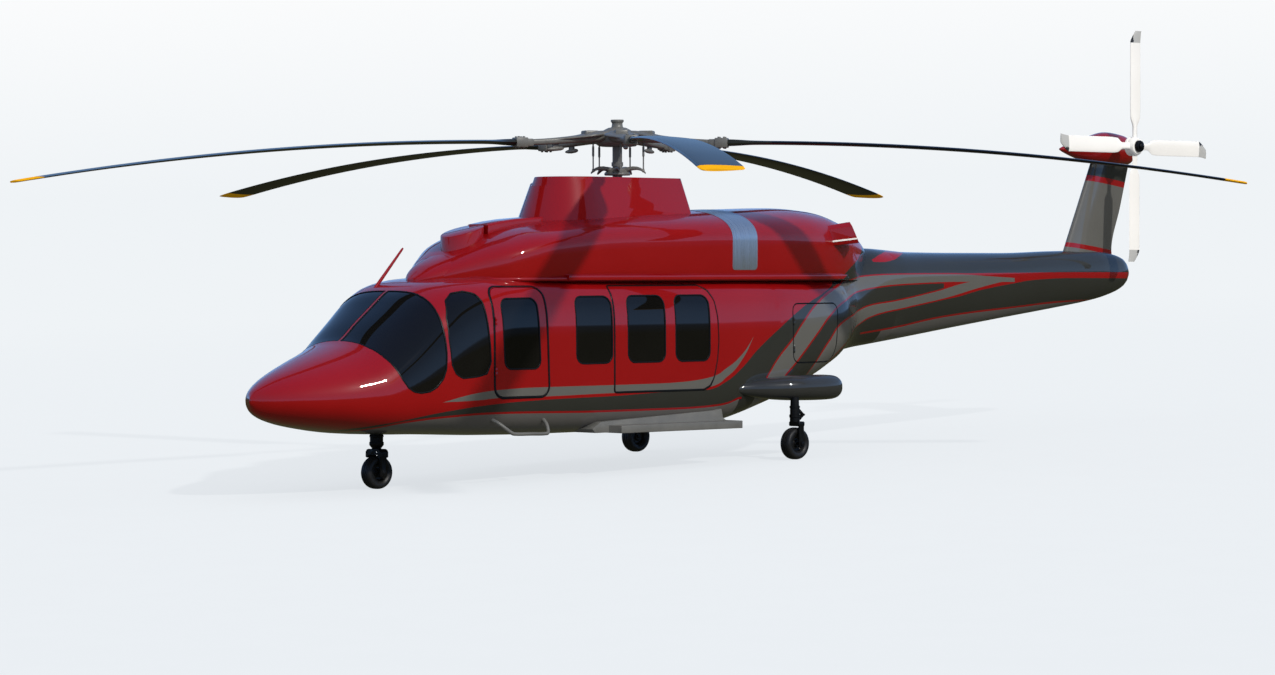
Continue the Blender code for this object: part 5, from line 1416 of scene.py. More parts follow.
class HELICOPTER_OT_windows(bpy.types.Operator):
    """Tinted panes that follow the skin a little below its surface"""
    bl_idname = "helicopter.windows"
    bl_label = "Windows"

    def execute(self, context):
        trim = context.scene.helicopter_trim
        steps = context.scene.helicopter_detail.ring_steps
        stations = [y for y in BODY_STATIONS if -5.4 < y < 1.2]
        outer = form("outer glass", BODY, stations, steps, trim.glass_depth)
        glass = copy_of(outer, "glass skin")
        carve(glass, form("inner glass", BODY, stations, steps, trim.glass_depth + trim.glass_thickness))
        for side, sign in SIDES:
            low, high = sorted((sign * 0.3, sign * 2.0))
            for name, node, shape, body in (
                    ("quarter_glass_", "quarter_window_", QUARTER_WINDOW, "airframe"),
                    ("crew_door_glass_", "crew_door_window_", CREW_WINDOW, "crew_door_" + side),
                    ("cabin_glass_", "cabin_window_", CABIN_WINDOW, "airframe"),
                    ("door_glass_front_", "sliding_door_window_front_", DOOR_WINDOW_FRONT, "airframe"),
                    ("door_glass_rear_", "sliding_door_window_rear_", DOOR_WINDOW_REAR, "airframe"),
                    ("windscreen_glass_", "windscreen_", WINDSCREEN, "airframe")):
                pane = copy_of(glass, name + side)
                if shape is WINDSCREEN:
                    bounds = windscreen_prism("bounds", sign, -HAIR)
                else:
                    bounds = side_prism("bounds", shape, -HAIR, low, high)
                carve(pane, bounds, "INTERSECT")
                lend_normals(pane, outer)
                settle(pane, tinted_glass_dark(), body, "tinted_glass", node + side)
        discard(outer, glass)
        return {"FINISHED"}


# ---------------------------------------------------------------- cowling and mast fairing

DUCT_HALF_WIDTH = 0.185
DUCT_RAKE = 0.42
MAST_HOLE_RADIUS = 0.13
SCOOP_MIDDLE = -2.755


def hood(name, table, stations, steps, inset=0.0, foot=COWL_FOOT):
    """A form cut off level at its foot."""
    rings = [[Vector((p.x, p.y, max(p.z, foot))) for p in section(table, y, steps, inset)] for y in stations]
    return wrapped(name, rings)


def duct_axes(sign, share):
    """Middle of an exhaust duct at a share of its length, the way across it and the way its mouth looks."""
    middle = Vector((sign * (0.55 + 0.40 * share), 3.10 + 0.50 * share, 2.975 + 0.085 * share))
    return middle, Vector((sign * 0.78, -0.62, 0.0)), Vector((sign * 0.625, 0.781, 0.0))


def duct_rings(sign, bore):
    """Rings of an exhaust duct, or of the bore inside it; its lower lip stands further out than its top."""
    ends = []
    corners = ((0.92, -1.0), (1.0, -0.62), (1.0, 0.62), (0.62, 1.0), (-0.62, 1.0), (-1.0, 0.62), (-1.0, -0.62),
               (-0.92, -1.0))
    for share, half_high in ((0.0, 0.135), (1.0, 0.145)):
        middle, across, push = duct_axes(sign, share)
        outline = rounded([(a * DUCT_HALF_WIDTH, b * half_high) for a, b in corners], 0.012, 3)
        ends.append([middle + across * p.x + Vector((0, 0, p.y)) - push * (DUCT_RAKE * p.y * share) for p in outline])
    if not bore:
        return ends
    inner = []
    for ring in ends:
        middle = sum(ring, Vector()) / len(ring)
        inner.append([middle + (spot - middle) * 0.88 for spot in ring])
    push = (inner[1][0] - inner[0][0]).normalized()
    return [[spot + push * 0.30 for spot in inner[0]], [spot + push * 0.05 for spot in inner[1]]]


def duct_lip(name, sign):
    """Pale strip along the lower outer fold of an exhaust duct: a painted highlight standing in for the sun's glint on
    that fold.
    """
    rings = []
    outline = rounded(((-0.008, -0.009), (0.004, -0.009), (0.004, 0.015), (-0.008, 0.015)), 0.002, 3)
    for share in (0.03, 0.30, 0.65, 1.0):
        drop = 0.60 * (0.135 + 0.010 * share)
        middle, across, push = duct_axes(sign, share)
        fold = (middle + across * DUCT_HALF_WIDTH - Vector((0.0, 0.0, drop))
                + push * (DUCT_RAKE * drop * share - 0.002))
        rings.append([fold + across * p.x + Vector((0.0, 0.0, p.y)) for p in outline])
    return wrapped(name, rings)


def laid_rail(name, route, profile):
    """A bar with the given section, (out, up), along a route in plan."""
    rings = []
    for k, spot in enumerate(route):
        run = (route[min(k + 1, len(route) - 1)] - route[max(k - 1, 0)]).normalized()
        out = Vector((-run.y, run.x, 0.0)).normalized()
        if out.x * spot.x < 0:
            out = -out
        rings.append([spot + out * a + Vector((0.0, 0.0, b)) for a, b in profile])
    return wrapped(name, rings)


def rounded_bar(half_wide, half_high, radius):
    """Section of a bar with rounded corners."""
    corners = ((-half_wide, -half_high), (half_wide, -half_high), (half_wide, half_high), (-half_wide, half_high))
    return [tuple(p) for p in rounded(corners, radius, 4)]


class HELICOPTER_OT_cowling(bpy.types.Operator):
    """Engine cowling with its crest, intake, exhausts, rails and metal band"""
    bl_idname = "helicopter.cowling"
    bl_label = "Cowling"

    def execute(self, context):
        steps = context.scene.helicopter_detail.ring_steps
        flanks = hood("flanks", COWL, COWL_STATIONS, steps)
        crest = hood("crest", CREST, spaced(-3.62, 0.03, -3.39, 0.08, -1.2), steps)
        cowl = copy_of(flanks, "cowling_skin")
        weld(cowl, crest, keep=True)
        spine = []
        for y, half, top in ((-2.49, 0.20, 3.143), (-2.26, 0.205, 3.182), (-2.00, 0.21, 3.214),
                             (-1.70, 0.215, 3.236), (-1.40, 0.22, 3.254), (-1.10, 0.22, 3.27)):
            outline = rounded(((-half, 2.7), (half, 2.7), (half, top), (-half, top)), 0.035, 5)
            spine.append([Vector((p.x, y, p.y)) for p in outline])
        weld(cowl, wrapped("spine", spine))
        scoop = []
        for drop, reach in ((0.45, 0.284), (0.016, 0.280), (0.005, 0.276), (0.0, 0.266)):
            spots = [(reach * a, SCOOP_MIDDLE + reach * b) for a, b in circle(64)]
            scoop.append([Vector((x, y, 2.998 + 0.30 * (y + 2.959) - drop)) for x, y in spots])
        weld(cowl, wrapped("scoop", scoop))
        self.add_ducts(cowl)
        hollow_stations = (-3.1, -2.9, -2.6, -2.2, -1.4, 0.0, 1.4, 2.3, 3.1, 3.6, 4.0, 4.35)
        carve(cowl, hood("hollow", COWL, hollow_stations, 10, 0.045, COWL_FOOT + 0.03))
        carve(cowl, whole_body(), keep=True)
        carve(cowl, rod("mast hole", (0, 0, 3.0), (0, 0, 4.2), MAST_HOLE_RADIUS))
        lend_normals(cowl, flanks, crest)
        settle(cowl, body_paint(), "airframe", "red_paint", "engine_cowling")
        discard(crest, flanks)
        self.add_band(steps)
        self.add_rails()
        return {"FINISHED"}

    def add_ducts(self, cowl):
        """Flat exhaust ducts at the back, each with a bore and a pale strip of painted highlight along its lower fold.
        """
        for side, sign in SIDES:
            weld(cowl, wrapped("duct", duct_rings(sign, False)))
            carve(cowl, wrapped("bore", duct_rings(sign, True)))
            # pale strip of painted highlight where the sun glints on the duct's lower fold
            lip = duct_lip("exhaust_lip_" + side, sign)
            settle(soften(lip, 40), plain_finish("polished_lip"), "airframe", "steel")

    def add_band(self, steps):
        """Brushed metal band over the cowling, with round lower corners."""
        stations = spaced(0.95, 0.05, 1.70)
        outer = hood("band form", COWL, stations, steps, -0.004)
        band = copy_of(outer, "cowling_band")
        carve(band, hood("band inner", COWL, [0.9] + stations[1:-1] + [1.75], steps, 0.003, 2.3))
        carve(band, side_prism("bounds", (((1.09, 2.545), (1.57, 2.545), (1.57, 4.2), (1.09, 4.2)), 0.05)),
              "INTERSECT")
        lend_normals(band, outer)
        discard(outer)
        settle(band, band_metal(), "airframe", "steel")

    def add_rails(self):
        """Rail along the foot of the cowling: slim round its front, a plank along its sides."""
        for side, sign in SIDES:
            for name, ys, out, z, bar in (
                    ("cowl_skirt_", (np.linspace(-3.33, -2.9, 16), np.linspace(-2.8, 1.4, 26),
                                     np.linspace(1.5, 3.7, 20)), -0.004, 2.430, (0.020, 0.020, 0.012)),
                    ("cowl_rail_", (np.linspace(-1.90, 3.62, 60),), 0.014, 2.447, (0.026, 0.030, 0.006))):
                route = [Vector((sign * (along(COWL, y)[0] + out), y, z)) for y in np.concatenate(ys)]
                rail = laid_rail(name + side, route, rounded_bar(*bar))
                settle(soften(rail), body_paint(), "airframe", "red_paint")


def fairing_size(z):
    """Front, back and half width of the mast fairing at a height."""
    table = ((2.90, -1.71, 0.86, 0.75), (3.05, -1.65, 0.85, 0.70), (3.26, -1.57, 0.835, 0.64),
             (3.74, -1.395, 0.80, 0.46), (3.775, -1.385, 0.798, 0.445))
    columns = list(zip(*table))
    return [float(np.interp(z, columns[0], column)) for column in columns[1:]]


class HELICOPTER_OT_mast_fairing(bpy.types.Operator):
    """Fairing round the mast: a round front lobe with a short collar and a flat-sided body"""
    bl_idname = "helicopter.mast_fairing"
    bl_label = "Mast fairing"

    def outline(self, z):
        """Half an ellipse at the front and flat sides to the back; z of a point is its sine round the ellipse."""
        front, back, half = fairing_size(z)
        middle = front + 1.1 * half
        spots = []
        for k in range(49):
            angle = -math.pi * k / 48
            spots.append(Vector((half * math.cos(angle), middle + 1.1 * half * math.sin(angle), math.sin(angle))))
        corner = rounded(((-half, middle), (-0.95 * half, back), (0.95 * half, back), (half, middle)), 0.05, 5)
        return spots + [Vector((p.x, p.y, 0.0)) for p in corner[6:18]]

    def execute(self, context):
        rings = []
        for z in (3.02, 3.2, 3.4, 3.6):
            rings.append([Vector((p.x, p.y, z)) for p in self.outline(z)])
        rims = [], [], [], []
        for p in self.outline(3.70):
            front = max(0.0, -p.z)
            top = 3.7715 - 0.12 * front
            for rim, z, slim in zip(rims, (top, top + 0.0006, 3.7722, 3.775), (0.0, 1.0, 1.0, 1.3)):
                spot = self.outline(z)[len(rim)]
                inner = Vector((spot.x, spot.y + 0.75, 0.0)).normalized() * (0.024 * slim * min(1.0, front * 3)
                                                                            + 0.002 * slim)
                rim.append(Vector((spot.x, spot.y, z)) - inner)
        fairing = wrapped("mast_fairing_skin", rings + list(rims))
        hollow = []
        for z in (2.9, 3.26, 3.74):
            front, back, half = fairing_size(z)
            outline = rounded(((-half * 0.84, front + 0.58), (half * 0.84, front + 0.58), (half * 0.80, back - 0.07),
                               (-half * 0.80, back - 0.07)), 0.1, 5)
            hollow.append([Vector((p.x, p.y, z)) for p in outline])
        carve(fairing, wrapped("hollow", hollow))
        carve(fairing, hood("seat", COWL, COWL_STATIONS, 12))
        carve(fairing, rod("mast hole", (0, 0, 3.0), (0, 0, 4.2), MAST_HOLE_RADIUS, sides=48))
        settle(soften(fairing, 28), body_paint(), "airframe", "red_paint", "mast_fairing")
        return {"FINISHED"}


# ---------------------------------------------------------------- rotors

def spun(obj, angle):
    """Turn a finished shape about the mast."""
    obj.data.transform(Matrix.Rotation(angle, 4, "Z"))
    return obj


def arm_ring(r, half_width, half_height, z, power=0.6):
    """Section of an arm that points forward, with rounded corners."""
    return [Vector((half_width * a, -r, z + half_height * b)) for a, b in circle(32, power)]


class HELICOPTER_OT_rotor_head(bpy.types.Operator):
    """Mast, hub dome, five arms with grips and dampers, swashplate and pitch links"""
    bl_idname = "helicopter.rotor_head"
    bl_label = "Rotor head"

    def execute(self, context):
        steps = context.scene.helicopter_detail.turn_steps
        metal = plain_finish("hub_metal")
        mast = turned("rotor_mast", ((3.1903, 0.0), (3.1903, 0.065), (3.93, 0.065), (3.935, 0.078), (3.985, 0.078),
                                     (3.99, 0.065), (4.26, 0.065), (4.30, 0.09), (4.30, 0.0)), steps)
        dome = turned("hub_dome", ((4.195, 0.0), (4.195, 0.20), (4.20, 0.245), (4.225, 0.280), (4.25, 0.292),
                                   (4.28, 0.292), (4.33, 0.272), (4.375, 0.235), (4.41, 0.190), (4.435, 0.145),
                                   (4.448, 0.115), (4.452, 0.088), (4.456, 0.080), (4.470, 0.074), (4.505, 0.070),
                                   (4.512, 0.072), (4.525, 0.084), (4.530, 0.087), (4.550, 0.087), (4.555, 0.083),
                                   (4.555, 0.0)), steps)
        settle(soften(mast), metal, "main_rotor", "hub_grey", "rotor_hub")
        settle(soften(dome), metal, "main_rotor", "hub_grey")
        arm = wrapped("hub_arm", [arm_ring(r, *along(ARM, r)) for r in np.linspace(0.05, 1.28, 26)])
        wings = []
        for r, half, thick in ((0.20, 0.12, 0.030), (0.34, 0.215, 0.034), (0.46, 0.235, 0.032), (0.58, 0.185, 0.028),
                               (0.72, 0.120, 0.024), (0.90, 0.070, 0.020)):
            wings.append(arm_ring(r, half, thick, along(ARM, r)[2] + 0.022, 0.8))
        weld(arm, wrapped("wing plate", wings))
        for part, low, high, bevel in (("shoulder", (-0.085, -0.50, 4.33), (0.085, -0.30, 4.405), 0.018),
                                       ("grip", (-0.085, -1.4997, 4.170), (0.085, -1.33, 4.300), 0.012),
                                       ("neck", (-0.066, -1.36, 4.185), (0.066, -1.24, 4.285), 0.016)):
            weld(arm, block(part, low, high, bevel))
        for y in (-1.38, -1.455):
            for x in (-0.045, 0.045):
                weld(arm, rod("bolt", (x, y, 4.155), (x, y, 4.316), 0.016, sides=18, bevel=0.003))
        soften(arm, 34)
        damper = turned("pitch_damper", ((0.0, 0.0), (0.004, 0.010), (0.018, 0.020), (0.05, 0.028), (0.13, 0.031),
                                         (0.20, 0.024), (0.235, 0.016), (0.25, 0.008), (0.252, 0.0)), 40,
                        Matrix.Translation((0.0, -0.78, 4.166)) @ Matrix.Rotation(math.radians(94), 4, "X"))
        weld(damper, block("bracket", (-0.018, -0.95, 4.14), (0.018, -0.86, 4.25), 0.006))
        soften(damper, 34)
        for number, angle in enumerate(BLADE_ANGLES, 1):
            for part, name in ((arm, "hub_arm"), (damper, "pitch_damper")):
                settle(spun(copy_of(part, f"{name}_{number}"), angle), metal, "main_rotor", "hub_grey")
        discard(arm, damper)
        self.add_swashplate(steps, metal)
        return {"FINISHED"}

    def add_swashplate(self, steps, metal):
        """Star with drooping horns, and the links up to the arms."""
        star = turned("swashplate_star", ((3.81, 0.066), (3.81, 0.168), (3.825, 0.176), (3.845, 0.172), (3.862, 0.150),
                                          (3.885, 0.130), (3.905, 0.118), (3.91, 0.066)), steps, closed=True)
        horn_rings = [arm_ring(r, *row) for r, *row in ((0.08, 0.055, 0.030, 3.875), (0.15, 0.050, 0.030, 3.893),
                                                        (0.21, 0.042, 0.027, 3.905), (0.27, 0.034, 0.023, 3.905),
                                                        (0.32, 0.028, 0.020, 3.890), (0.36, 0.022, 0.017, 3.862),
                                                        (0.385, 0.014, 0.012, 3.840))]
        horn = wrapped("horn", horn_rings)
        link = turned("pitch_link", ((3.850, 0.0), (3.850, 0.015), (3.885, 0.017), (3.90, 0.0095), (4.06, 0.0095),
                                     (4.065, 0.0155), (4.19, 0.0155), (4.20, 0.010), (4.2445, 0.010), (4.2445, 0.0)),
                      20, Matrix.Translation((0.0, -0.355, 0.0)))
        soften(link)
        for number, angle in enumerate(BLADE_ANGLES, 1):
            weld(star, spun(copy_of(horn, "horn arm"), angle))
            settle(spun(copy_of(link, f"pitch_link_{number}"), angle), metal, "main_rotor", "steel")
        discard(horn, link)
        settle(soften(star, 34), metal, "main_rotor", "hub_grey", "swashplate")


def blade_ring(r, chord, thick, offset):
    """Section across the blade; the leading edge is towards -X on a blade that points forward."""
    middle = HUB_HEIGHT - BLADE_DROOP * max(r - BLADE_ROOT, 0.0) ** 2
    return [Vector((offset + chord * (share - 0.30), -r, middle + height))
            for share, height in wing_section(thick, 0.002, 28)]


class HELICOPTER_OT_main_blades(bpy.types.Operator):
    """Five drooping main blades with swept tips, yellow bands and dark leading edges"""
    bl_idname = "helicopter.main_blades"
    bl_label = "Main blades"

    def execute(self, context):
        radii = spaced(BLADE_ROOT, 0.05, 2.2, 0.3, 7.6, 0.06, 8.1, 0.03, ROTOR_RADIUS)
        blade = wrapped("blade", [blade_ring(r, *along(BLADE, r)) for r in radii])
        soften(blade, 40)
        edge = plain_paint("blade_edge", (0.006, 0.006, 0.007), 0.3, 0.4)
        for number, angle in enumerate(BLADE_ANGLES, 1):
            one = copy_of(blade, f"main_blade_skin_{number}")
            leading = [face.index for face in one.data.polygons
                       if 2.1 < -face.center.y < 8.02
                       and face.center.x < along(BLADE, -face.center.y)[2] - along(BLADE, -face.center.y)[0] * 0.265]
            settle(spun(one, angle), blade_paint(), "main_rotor", "blade_olive", f"main_blade_{number}")
            one.data.materials.append(edge)
            for index in leading:
                one.data.polygons[index].material_index = 1
        discard(blade)
        return {"FINISHED"}


class HELICOPTER_OT_tail_rotor(bpy.types.Operator):
    """Tail rotor hub with its shaft and cap, and four white blades with grey tips"""
    bl_idname = "helicopter.tail_rotor"
    bl_label = "Tail rotor"

    def execute(self, context):
        look = context.scene.helicopter_paint
        steps = context.scene.helicopter_detail.turn_steps
        white = plain_paint("tail_white", look.tail_white, 0.35, 0.5, (0.96, 1.02))
        at_hub = Matrix.Translation((0, TAIL_HUB.y, TAIL_HUB.z)) @ Matrix.Rotation(math.radians(90), 4, "Y")
        hub = turned("tail_hub", ((0.05, 0.0), (0.05, 0.045), (0.505, 0.045), (0.508, 0.138), (0.515, 0.145),
                                  (0.545, 0.145), (0.552, 0.136), (0.575, 0.136), (0.582, 0.143), (0.625, 0.141),
                                  (0.650, 0.131), (0.662, 0.122), (0.665, 0.112), (0.665, 0.0)), steps, at_hub)
        cap = turned("tail_cap", ((0.655, 0.0), (0.655, 0.090), (0.700, 0.088), (0.718, 0.080), (0.722, 0.060),
                                  (0.712, 0.056), (0.712, 0.046), (0.738, 0.042), (0.746, 0.030), (0.750, 0.0)),
                     steps, at_hub)
        settle(soften(hub, 34), white, "tail_rotor", "hub_grey", "tail_rotor")
        settle(soften(cap, 34), plain_finish("gear_black"), "tail_rotor", "black_gear")
        rings = []
        for r in spaced(0.10, 0.035, 0.62, 0.12, 1.57, 0.015, 1.751):
            chord, thick, sweep = along(TAIL_BLADE, r)
            rings.append([Vector((height, sweep + chord * (share - 0.45), r))
                          for share, height in wing_section(thick, 0.002, 24)])
        blade = wrapped("tail blade", rings)
        soften(blade, 40)
        pale = plain_paint("tail_tip_grey", (0.46, 0.47, 0.47), 0.4, 0.3)
        dark = plain_paint("tail_tip_dark", (0.03, 0.032, 0.036), 0.4, 0.3)
        for k in range(4):
            one = copy_of(blade, f"tail_blade_{k + 1}")
            tip = [face.index for face in one.data.polygons if face.center.z > TAIL_TIP]
            mark = [face.index for face in one.data.polygons
                    if TAIL_TIP < face.center.z < 1.68 and face.center.y < -0.045]
            one.data.transform(Matrix.Translation((TAIL_HUB.x - 0.035, TAIL_HUB.y, TAIL_HUB.z))
                               @ Matrix.Rotation(math.pi / 2 * k, 4, "X"))
            settle(one, white, "tail_rotor", "hub_grey")
            for index, paint, faces in ((1, pale, tip), (2, dark, mark)):
                one.data.materials.append(paint)
                for number in faces:
                    one.data.polygons[number].material_index = index
        discard(blade)
        return {"FINISHED"}


# ---------------------------------------------------------------- tail, sponsons and steps

class HELICOPTER_OT_tail(bpy.types.Operator):
    """Tail fin and the fairing over the tail gearbox"""
    bl_idname = "helicopter.tail"
    bl_label = "Tail"

    def execute(self, context):
        look = context.scene.helicopter_paint
        rows = []
        for z in np.linspace(FIN[0][0], FIN[-1][0], 24):
            front, back, thick = along(FIN, z)
            rows.append([Vector((height, front + (back - front) * share, z))
                         for share, height in wing_section(thick, 0.004, 48)])
        fin = wrapped("fin_skin", rows)
        carve(fin, whole_body(), keep=True)
        settle(soften(fin, 40), fin_paint(), "airframe", "grey_paint", "tail_fin")
        rings = [section(TAIL_POD, y, 14) for y in spaced(9.22, 0.02, 9.35, 0.08, 10.6, 0.025, 10.94)]
        outer = wrapped("pod form", round_off(rings[0], -1)[::-1] + rings + round_off(rings[-1], 1))
        pod = copy_of(outer, "tail_gearbox_skin")
        carve(pod, rod("bearing", (0.0497, TAIL_HUB.y, TAIL_HUB.z), (0.4, TAIL_HUB.y, TAIL_HUB.z), 0.055))
        lend_normals(pod, outer)
        discard(outer)
        settle(pod, plain_paint("tail_pod_red", look.red), "airframe", "red_paint", "tail_gearbox_fairing")
        return {"FINISHED"}


class HELICOPTER_OT_sponsons(bpy.types.Operator):
    """Sponsons that carry the main gear"""
    bl_idname = "helicopter.sponsons"
    bl_label = "Sponsons"

    def execute(self, context):
        look = context.scene.helicopter_paint
        paint = plain_paint("sponson_charcoal", look.sponson_grey, 0.34)
        for side, sign in SIDES:
            rings = []
            for y in spaced(0.80, 0.04, 1.1, 0.09, 2.55, 0.016, 2.742):
                x, half_width, z, half_height = along(SPONSON, y)
                rings.append([Vector((sign * (x + half_width * a), y, z + half_height * b))
                              for a, b in circle(56, 0.8)])
            outer = guide("sponson " + side, lambda name: wrapped(name, rings + round_off(rings[-1], 1)))
            sponson = copy_of(outer, "sponson_skin_" + side)
            carve(sponson, whole_body(), keep=True)
            lend_normals(sponson, outer)
            settle(sponson, paint, "airframe", "charcoal_paint", "sponson_" + side)
        return {"FINISHED"}


class HELICOPTER_OT_steps(bpy.types.Operator):
    """Long boarding steps and the bent tubes below the crew doors"""
    bl_idname = "helicopter.steps"
    bl_label = "Steps"

    def execute(self, context):
        grey = plain_finish("step_grey")
        for side, sign in SIDES:
            low, high = sorted((sign * 0.80, sign * 1.44))
            plank = block("step_plank_" + side, (low, -1.30, 0.445), (high, 0.92, 0.545), 0.008, 3)
            outline = ((-1.60, 0.500), (-1.53, 0.449), (0.72, 0.449), (0.86, 0.540), (0.79, 0.58), (0.76, 0.70),
                       (0.60, 0.68), (-1.44, 0.590))
            weld(plank, side_prism("ramp", (outline, 0.010), 0.0, *sorted((sign * 0.80, sign * 1.20))))
            carve(plank, whole_body(), keep=True)
            chamfer(plank, 0.004)
            settle(soften(plank, 35), grey, "airframe", "grey_paint", "main_step_" + side)
            route = ((1.05, -3.27, 0.70), (1.20, -3.20, 0.62), (1.27, -3.06, 0.505), (1.28, -2.98, 0.485),
                     (1.28, -2.74, 0.480), (1.28, -2.50, 0.475), (1.27, -2.43, 0.495), (1.20, -2.40, 0.60),
                     (1.05, -2.38, 0.70))
            bar = tube("front_step_bar_" + side, [(x * sign, y, z) for x, y, z in route], 0.023)
            carve(bar, whole_body(), keep=True)
            settle(soften(bar, 50), grey, "airframe", "grey_paint", "front_step_" + side)
        return {"FINISHED"}


# ---------------------------------------------------------------- landing gear

def both_ways(profile):
    """A profile given for the outboard half, closed with its mirror image."""
    return [(-along_axis, radius) for along_axis, radius in profile] + list(reversed(profile))


class HELICOPTER_OT_wheels(bpy.types.Operator):
    """Tyres with rounded shoulders and grooves, on dished rims"""
    bl_idname = "helicopter.wheels"
    bl_label = "Wheels"

    def execute(self, context):
        steps = context.scene.helicopter_detail.turn_steps
        for name, centre, radius in (
                ("nose_wheel", NOSE_AXLE, NOSE_WHEEL_RADIUS),
                ("main_wheel_left", MAIN_AXLE, MAIN_WHEEL_RADIUS),
                ("main_wheel_right", Vector((-MAIN_AXLE.x, MAIN_AXLE.y, MAIN_AXLE.z)), MAIN_WHEEL_RADIUS)):
            spot = Matrix.Translation(centre) @ Matrix.Rotation(math.radians(90), 4, "Y")
            w = 0.088
            bead = radius * 0.56
            flank = both_ways((
                (w * 0.60, bead + 0.004), (w * 0.72, bead), (w * 0.80, bead + 0.004), (w * 0.84, bead + 0.012),
                (w * 0.93, radius * 0.66), (w * 0.985, radius * 0.72), (w, radius * 0.78), (w * 0.98, radius * 0.84),
                (w * 0.92, radius * 0.895), (w * 0.82, radius * 0.94), (w * 0.70, radius * 0.968),
                (w * 0.56, radius * 0.985), (w * 0.46, radius * 0.992), (w * 0.44, radius * 0.965),
                (w * 0.38, radius * 0.965), (w * 0.36, radius * 0.997), (w * 0.14, radius), (w * 0.12, radius * 0.972),
                (w * 0.06, radius * 0.972), (w * 0.04, radius)))
            tyre = turned(name + "_rubber", flank, steps, spot, closed=True)
            settle(soften(tyre, 40), plain_finish("tyre_rubber"), name, "rubber", name + "_tyre")
            rim_line = both_ways((
                (w * 0.70, bead * 0.99), (w * 0.74, bead * 0.985), (w * 0.75, bead * 0.93), (w * 0.70, bead * 0.90),
                (w * 0.62, bead * 0.86), (w * 0.36, bead * 0.80), (w * 0.26, bead * 0.70), (w * 0.24, bead * 0.50),
                (w * 0.30, bead * 0.42), (w * 0.50, bead * 0.36), (w * 0.55, bead * 0.33), (w * 0.55, 0.0200)))
            rim = turned(name + "_disc", rim_line, steps, spot, closed=True)
            for a, b in circle(6):
                out = centre + Vector((0.0, a, b)) * (bead * 0.60)
                for way in (1, -1):
                    weld(rim, rod("rim bolt", out + Vector((way * 0.012, 0, 0)), out + Vector((way * 0.027, 0, 0)),
                                  0.0085, sides=6))
            settle(soften(rim, 34), plain_finish("rim_grey"), name, "rim_metal", name + "_rim")
        return {"FINISHED"}


class HELICOPTER_OT_nose_gear(bpy.types.Operator):
    """Nose strut with its collars, and the fork that steers about it"""
    bl_idname = "helicopter.nose_gear"
    bl_label = "Nose gear"

    def execute(self, context):
        black = plain_finish("gear_black")
        y = NOSE_AXLE.y
        strut = turned("nose_strut_tube",
                       ((0.3003, 0.0), (0.3003, 0.060), (0.312, 0.062), (0.335, 0.082), (0.345, 0.090), (0.352, 0.092),
                        (0.385, 0.092), (0.390, 0.084), (0.445, 0.084), (0.451, 0.090), (0.470, 0.090),
                        (0.476, 0.084), (0.60, 0.084), (0.60, 0.0)), 56, Matrix.Translation((0, y, 0)))
        carve(strut, whole_body(), keep=True)
        settle(soften(strut, 34), black, "airframe", "black_gear", "nose_strut")
        corners = ((-0.135, 0.195), (-0.135, 0.262), (-0.112, 0.290), (-0.080, 0.2995), (0.094, 0.2995),
                   (0.126, 0.290), (0.148, 0.262), (0.148, 0.195), (0.105, 0.185), (0.094, 0.226), (-0.082, 0.226),
                   (-0.094, 0.185))
        outline = rounded(corners, 0.010, 4)
        crown = prism("nose_fork_crown", outline, lambda x, z: (x, y - 0.068, z), (0.0, 0.136, 0.0))
        z = NOSE_AXLE.z
        weld(crown, block("leg", (0.098, y - 0.055, z - 0.058), (0.144, y + 0.055, 0.26), 0.018, 3))
        weld(crown, rod("collar", (0, y, 0.235), (0, y, 0.2995), 0.072, sides=48, bevel=0.006))
        carve(crown, rod("sight", (0.144, y - 0.139, 0.258), (-0.144, y + 0.139, 0.258), 0.013, sides=24))
        weld(crown, rod("axle", (-0.066, y, z), (0.145, y, z), AXLE_RADIUS, bevel=0.003))
        weld(crown, rod("nut", (0.131, y, z), (0.152, y, z), 0.030, sides=6, bevel=0.003))
        chamfer(crown, 0.004)
        settle(soften(crown, 34), black, "nose_fork", "black_gear", "nose_fork")
        return {"FINISHED"}


